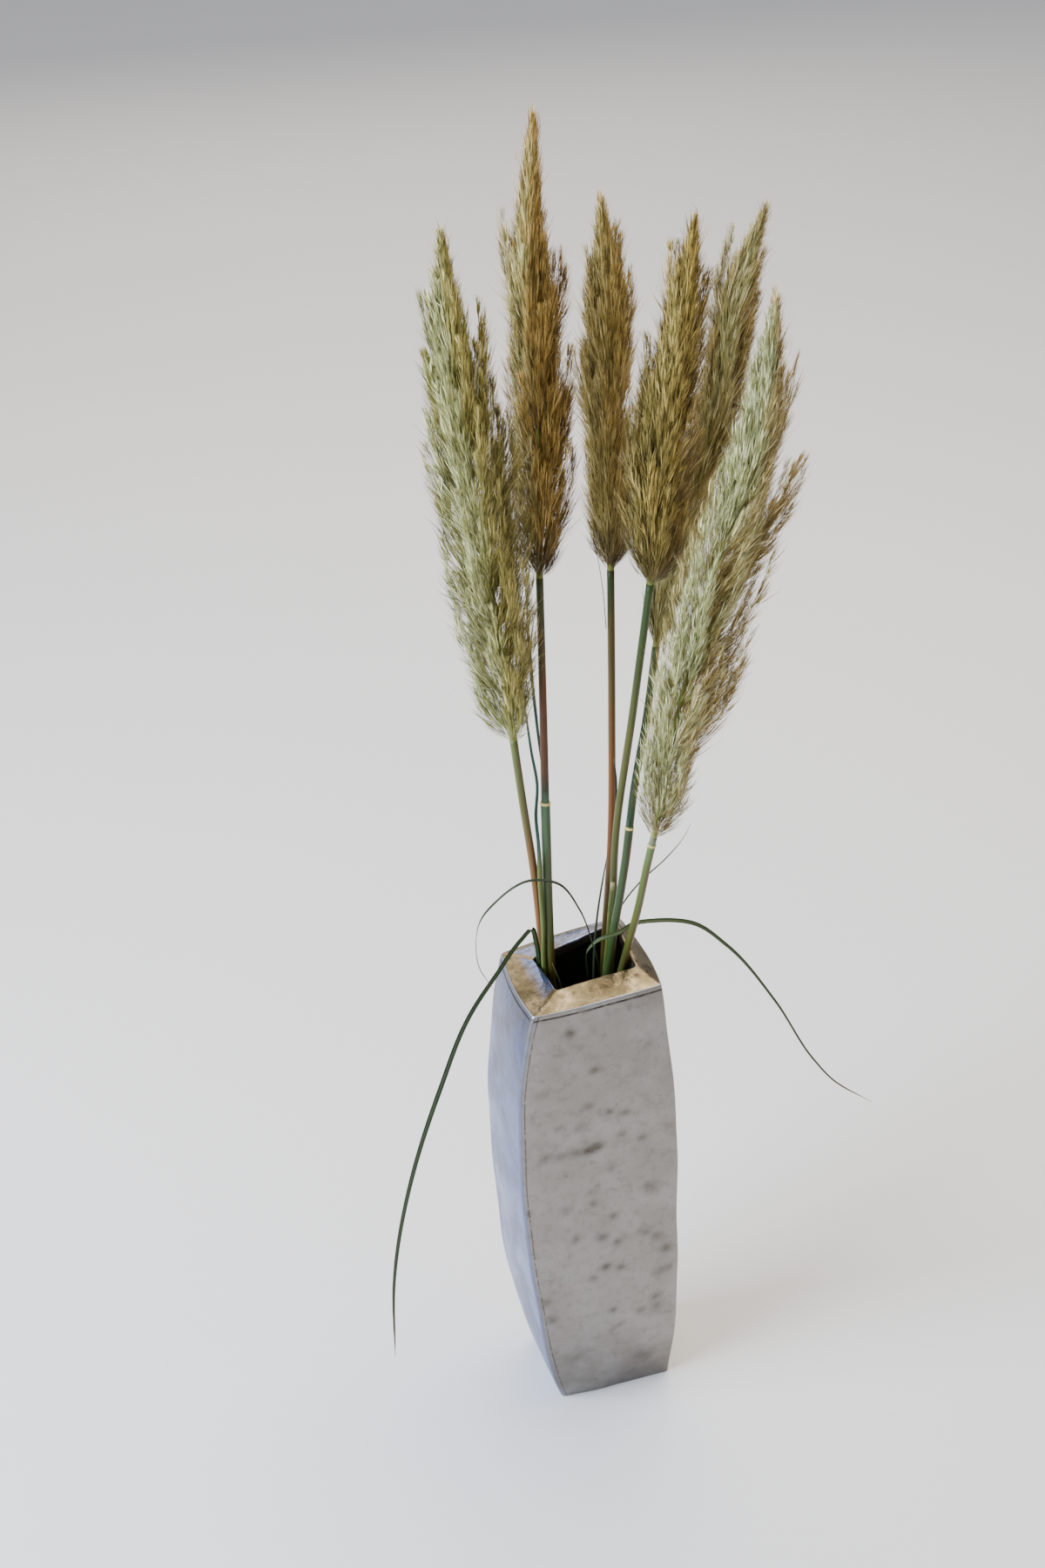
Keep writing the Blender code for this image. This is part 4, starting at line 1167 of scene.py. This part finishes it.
def spindles(base, tip, outward, width, bow, twist):
    # pointed ribbons of six corners each, their faces turned outwards
    run = tip - base
    length = np.linalg.norm(run, axis=1, keepdims=True)
    forward = run / np.maximum(length, 1e-9)
    side = unit(np.cross(forward, outward))
    face = np.cross(side, forward)
    side = side * np.cos(twist)[:, None] + face * np.sin(twist)[:, None]
    bend = face * (bow[:, None] * length)
    low = base + run * spindleShares[1] + bend * 0.84
    high = base + run * spindleShares[3] + bend * 0.90
    wide, narrow = side * width[:, None], side * width[:, None] * 0.72
    points = np.stack([base, low + wide, low - wide, high + narrow, high - narrow, tip], axis=1)
    first = np.arange(len(base))[:, None] * len(spindleShares)
    triangles = np.concatenate([first + np.array([[0, 1, 2]]), first + np.array([[3, 5, 4]])])
    quads = first + np.array([[1, 3, 4, 2]])
    shine = unit(face * 0.9 + outward * 0.25)
    left, right = unit(shine + side * 0.5), unit(shine - side * 0.5)
    normals = np.stack([shine, left, right, left, right, shine], axis=1)
    return points, triangles, quads, normals


def planLocks(plume, axis, dice):
    # each lock's tip and root along the axis, its tip's distance out, its thickness and its share of fibres
    form = plumeForm
    heights, halves = np.array(plume["profile"]).T
    count = plume["locks"]
    order = np.arange(count)
    low = form["lowestTip"]
    tipShare = low + (1 - low) * ((order + dice.random(count)) / count) ** form["tipCrowding"]
    turn = order * form["goldenTurn"] + dice.normal(0, form["turnJitter"], count)
    depth = dice.uniform(form["depth"], 1.0, count) ** form["depthPower"]
    lockLength = plume["lockLength"] * dice.uniform(*form["lockSpread"], count)
    forward = axis.direction(tipShare)
    east = unit(np.array((1.0, 0, 0)) - forward * forward[:, :1])
    north = np.cross(forward, east)
    thickness = dice.uniform(*form["lockThickness"], count)
    reach = np.interp(tipShare, heights, halves) * form["fullness"] - thickness * 0.3
    reach = np.maximum(reach, 0.0) * depth
    offset = (east * np.cos(turn)[:, None] + north * np.sin(turn)[:, None]) * reach[:, None]
    # the locks that stand out on their own
    tips = np.array(plume["spires"])
    spireShare = axis.shareAtHeight(tips[:, 2])
    offset = np.concatenate([offset, tips - axis.at(spireShare)])
    # more locks between each of those and the axis, a little shorter
    flanks = np.repeat(np.arange(len(tips)), plume.get("flankLocks", form["flankLocks"]))
    nearer = dice.uniform(*form["flankReach"], len(flanks))[:, None]
    jitter = dice.normal(0, form["flankJitter"], (len(flanks), 3))
    offset = np.concatenate([offset, offset[count + flanks] * nearer + jitter])
    flankShare = np.clip(spireShare[flanks] - dice.uniform(0, form["flankDrop"], len(flanks)), 0.1, 1)
    flankLength = form["flankLength"] * dice.uniform(*form["flankSpread"], len(flanks))
    tipShare = np.concatenate([tipShare, spireShare, flankShare])
    spireLength = np.full(len(tips), form["spireRoot"] * axis.length)
    lockLength = np.concatenate([lockLength, spireLength, flankLength])
    thickness = np.concatenate([thickness, np.full(len(tips) + len(flanks), form["spireThickness"])])
    rootShare = np.maximum(tipShare - lockLength / axis.length, 0.0)
    weight = (tipShare - rootShare) * axis.length * thickness
    weight[count:] *= form["spireWeight"]
    return tipShare, rootShare, offset, thickness, weight


def coreMesh(name, axis, first):
    # the main axis inside, so that the locks grow from something
    sides = plumeForm["coreSides"]
    shares = np.linspace(0, plumeForm["coreTop"], plumeForm["coreRings"])
    angle = np.linspace(0, 2 * math.pi, sides, endpoint=False)
    stemTop = stems[name.replace("plume", "stem")]["radius"][1]
    thick = stemTop * np.interp(shares, (0, 0.5, 1), plumeForm["coreTaper"])
    offsets = thick[:, None, None] * np.stack([np.cos(angle), np.sin(angle)], axis=-1)[None]
    core = crossSections(axis, shares, (1.0, 0.0, 0.0), offsets).reshape(-1, 3)
    faces = [stackFaces(len(shares), sides, first), (np.arange(sides)[::-1] + first)[None, :],
             (np.arange(sides) + first + (len(shares) - 1) * sides)[None, :]]
    return core, faces, unit(core - np.repeat(axis.at(shares), sides, axis=0))


def growPlume(name):
    plume, form = plumes[name], plumeForm
    dice = np.random.default_rng(plume["seed"])
    axis = plumeRoute(name)
    tipShare, rootShare, offset, thickness, weight = planLocks(plume, axis, dice)
    run = (tipShare - rootShare) * axis.length
    # fibres grow in strands, and every strand belongs to one lock
    strand = len(form["strand"])
    strands = plume["fibres"] // strand
    count = strands * strand

    def perFibre(values):
        return np.repeat(values, strand)

    lock = dice.choice(len(run), strands, p=weight / weight.sum())
    u0 = dice.random(strands) ** 0.9 * 0.95
    lock, u0 = perFibre(lock), perFibre(u0)
    around = perFibre(dice.uniform(0, 2 * math.pi, strands)) + dice.normal(0, form["strandSpread"], count)
    outDistance = perFibre(np.sqrt(dice.uniform(0.1, 1.0, strands)))
    length = perFibre(dice.uniform(*form["fibreLength"], strands))
    length *= dice.uniform(*form["lengthSpread"], count)
    length *= 1 - 0.3 * u0
    u1 = np.minimum(u0 + length / np.maximum(run[lock], 0.01), 1.03)

    def lockCentre(u):
        share = rootShare[lock] + (tipShare - rootShare)[lock] * np.minimum(u, 1.0)
        spread = np.sin(np.clip(u * 1.35, 0, 1) * math.pi / 2) ** 0.8
        extra = axis.direction(share) * (np.maximum(u - 1.0, 0) * run[lock])[:, None]
        return axis.at(share) + offset[lock] * spread[:, None] + extra, share

    def bundle(u):
        # a lock's half thickness along its length
        u = np.clip(u, 0, 1)
        return thickness[lock] * np.minimum(1.0, 0.45 + 1.6 * u) * (1 - u) ** 0.6

    start, rise = lockCentre(u0)
    end, _ = lockCentre(u1)
    outward = unit(offset[lock] + 1e-6)
    distance = np.linalg.norm(offset, axis=1)
    outThere = (distance / distance.max())[lock]
    sideways = unit(np.cross(unit(end - start), outward))
    spray = outward * np.cos(around)[:, None] + sideways * np.sin(around)[:, None]
    flare = np.abs(dice.normal(*form["flare"], count))
    stray = dice.random(count) < form["strays"]
    length = np.where(stray, length * form["strayLength"], length)
    base = start + spray * (bundle(u0) * outDistance)[:, None]
    tip = end + spray * (bundle(u1) * outDistance + length * flare)[:, None]
    lean = (0.05 + 0.15 * outThere + 0.14 * stray) * length
    tip = tip + outward * lean[:, None] + dice.normal(0, form["tipJitter"], tip.shape)
    facing = unit(spray * 0.6 + outward * (0.35 + outThere[:, None]))
    width = dice.uniform(*form["fibreWidth"], count) * np.tile(form["strand"], strands)
    bow = dice.normal(*form["bow"], count)
    twist = dice.normal(0, form["twist"], count)
    # dry curled wisps at the very top
    wisps = form["wisps"]
    ends = np.arange(count - wisps, count)
    lift = dice.uniform(*form["wispFrom"], wisps)
    astray = unit(dice.normal(0, 1, (wisps, 3)))
    rise[ends] = lift
    base[ends] = axis.at(lift)
    reach = dice.uniform(*form["wispLength"], (wisps, 1))
    tip[ends] = base[ends] + (axis.direction(lift) * 0.8 + astray * 0.75) * reach
    facing[ends] = astray
    width[ends] *= form["wispWidth"]
    bow[ends] = dice.normal(0, form["wispBow"], wisps)
    points, triangles, quads, normals = spindles(base, tip, facing, width, bow, twist)
    core, coreFaces, coreNormals = coreMesh(name, axis, points.shape[0] * points.shape[1])
    everything = np.concatenate([points.reshape(-1, 3), core])
    mesh = meshFrom(name + "Shape", everything, [triangles, quads, *coreFaces])
    mesh.shade_smooth()
    allNormals = np.concatenate([normals.reshape(-1, 3), coreNormals])
    mesh.normals_split_custom_set_from_vertices(allNormals.tolist())
    tone = (0.45 + 0.10 * dice.normal(0, 1, len(run))[lock] + 0.24 * perFibre(dice.normal(0, 1, strands))
            + 0.26 * dice.normal(0, 1, count))
    # random pale fibres, and painted shade on the fibres nearer the centre of their lock
    tone += perFibre(dice.random(strands) < form["paleFibres"]) * 0.5 - 0.25 * (1 - outDistance)
    # the silvery side: the plume's own pale colour together with a painted highlight from the window light
    compass = math.radians(plume["pale"][0])
    towardsPaleLitSide = np.cos(compass) * outward[:, 0] + np.sin(compass) * outward[:, 1]
    pale = towardsPaleLitSide * 0.5 + 0.5 + 0.12 * dice.normal(0, 1, len(run))[lock]
    corners = points.shape[1]
    for title, values, coreValue in (("tone", np.clip(tone, 0, 1), 0.3), ("rise", rise, 0.0),
                                     ("paleAndLitSide", np.clip(pale, 0, 1), 0.0), ("core", np.zeros(count), 1.0)):
        paint(mesh, title, np.concatenate([np.repeat(values, corners), np.full(len(core), coreValue)]))
    paint(mesh, "alongFibre", np.concatenate([np.tile(spindleShares, count), np.zeros(len(core))]))
    return mesh


def makePlumeFinish(name):
    plume, look = plumes[name], plumeLook
    plain = {"Roughness": 0.55, "Specular IOR Level": 0.22, "Sheen Weight": 0.06, "Sheen Roughness": 0.4}
    material, tree, surface = newMaterial(name + "Fibres", **plain)
    tone, rise, along = (readPaint(tree, title) for title in ("tone", "rise", "alongFibre"))

    def tinted(tones, bleach):
        shades = {"Dark": tones["dark"], "Middle": tones["middle"], "Light": tones["light"]}
        return useGroup(tree, fibreTone, Tone=tone, Tip=along, Bleach=bleach, **shades)

    _, start, amount = plume["pale"]
    # the silvery side, partly the plume's own pale colour and partly a painted highlight from the window
    # light
    paleAndLitSide = remap(tree, readPaint(tree, "paleAndLitSide"), 0.35 + start * 0.4, 0.75 + start * 0.2)
    colour = layered(tree, tinted(plume["tones"], 0.30), (
        (times(tree, paleAndLitSide, amount), tinted(silverGreen, 0.40)),
        (remap(tree, rise, 0.0, look["baseFade"], look["baseAmount"], 0.0), plume["baseShade"]),
        (readPaint(tree, "core"), look["core"]),
    ))
    dress(tree, surface, colour, remap(tree, tone, 0.0, 1.0, *look["roughness"]))
    return material


for plumeName in plumes:
    addPiece(plumeName, growPlume(plumeName), [makePlumeFinish(plumeName)])
    print(plumeName, "grown")


stage = {"floorSize": 90.0, "floorColour": screen(226, 226, 228), "world": (0.86, 0.86, 0.88),
         "worldStrength": 0.62, "lampsAim": (0, 0, 0.5)}

lamps = {
    "windowLight": {"place": (-2.4, -0.4, 1.9), "size": 1.8, "colour": (0.76, 0.86, 1.0), "power": 215},
    "ceilingLight": {"place": (0.9, 0.6, 3.0), "size": 2.2, "colour": (1.0, 0.88, 0.72), "power": 95},
    "wallGlow": {"place": (0.6, 3.8, 2.6), "size": 3.2, "colour": (1.0, 0.86, 0.66), "power": 70},
}

lens = {"place": (-0.4236, -1.3788, 1.529), "pitch": 32.0, "heading": 15.0, "roll": -2.5, "length": 50,
        "sensor": 36}


def makeFloor():
    half = stage["floorSize"] / 2
    mesh = meshFrom("floorShape", [(-half, -half, 0), (half, -half, 0), (half, half, 0), (-half, half, 0)],
                    [np.array([[0, 1, 2, 3]])])
    material, tree, surface = newMaterial("paleFloor", **{"Roughness": 0.6, "Specular IOR Level": 0.2})
    clouds = cloudMask(tree, objectPlace(tree), 1.2, low=0.1, high=0.9)
    pale = stage["floorColour"]
    darker = (pale[0] * 0.97, pale[1] * 0.97, pale[2] * 0.97, 1.0)
    dress(tree, surface, mixColour(tree, clouds, pale, darker))
    mesh.materials.append(material)
    floor = bpy.data.objects.new("floor", mesh)
    bpy.context.scene.collection.objects.link(floor)


def makeLights():
    world = bpy.data.worlds.new("softRoom")
    world.use_nodes = True
    background = world.node_tree.nodes["Background"]
    background.inputs["Color"].default_value = (*stage["world"], 1.0)
    background.inputs["Strength"].default_value = stage["worldStrength"]
    bpy.context.scene.world = world
    for name, lamp in lamps.items():
        data = bpy.data.lights.new(name, "AREA")
        data.size = lamp["size"]
        data.color = lamp["colour"]
        data.energy = lamp["power"]
        light = bpy.data.objects.new(name, data)
        light.location = lamp["place"]
        aim = Vector(stage["lampsAim"]) - Vector(lamp["place"])
        light.rotation_euler = aim.to_track_quat("-Z", "Y").to_euler()
        bpy.context.scene.collection.objects.link(light)


def makeCamera():
    pitch, heading, roll = (math.radians(lens[key]) for key in ("pitch", "heading", "roll"))
    ahead = Vector((math.sin(heading), math.cos(heading), 0))
    level = Vector((math.cos(heading), -math.sin(heading), 0))
    forward = math.cos(pitch) * ahead - math.sin(pitch) * Vector((0, 0, 1))
    steep = math.sin(pitch) * ahead + math.cos(pitch) * Vector((0, 0, 1))
    right = math.cos(roll) * level + math.sin(roll) * steep
    up = -math.sin(roll) * level + math.cos(roll) * steep
    data = bpy.data.cameras.new("camera")
    data.lens = lens["length"]
    data.sensor_width = lens["sensor"]
    camera = bpy.data.objects.new("camera", data)
    camera.matrix_world = Matrix((right, up, -forward)).transposed().to_4x4()
    camera.location = lens["place"]
    bpy.context.scene.collection.objects.link(camera)
    bpy.context.scene.camera = camera


makeFloor()
makeLights()
makeCamera()
print("stage, lights and camera set")
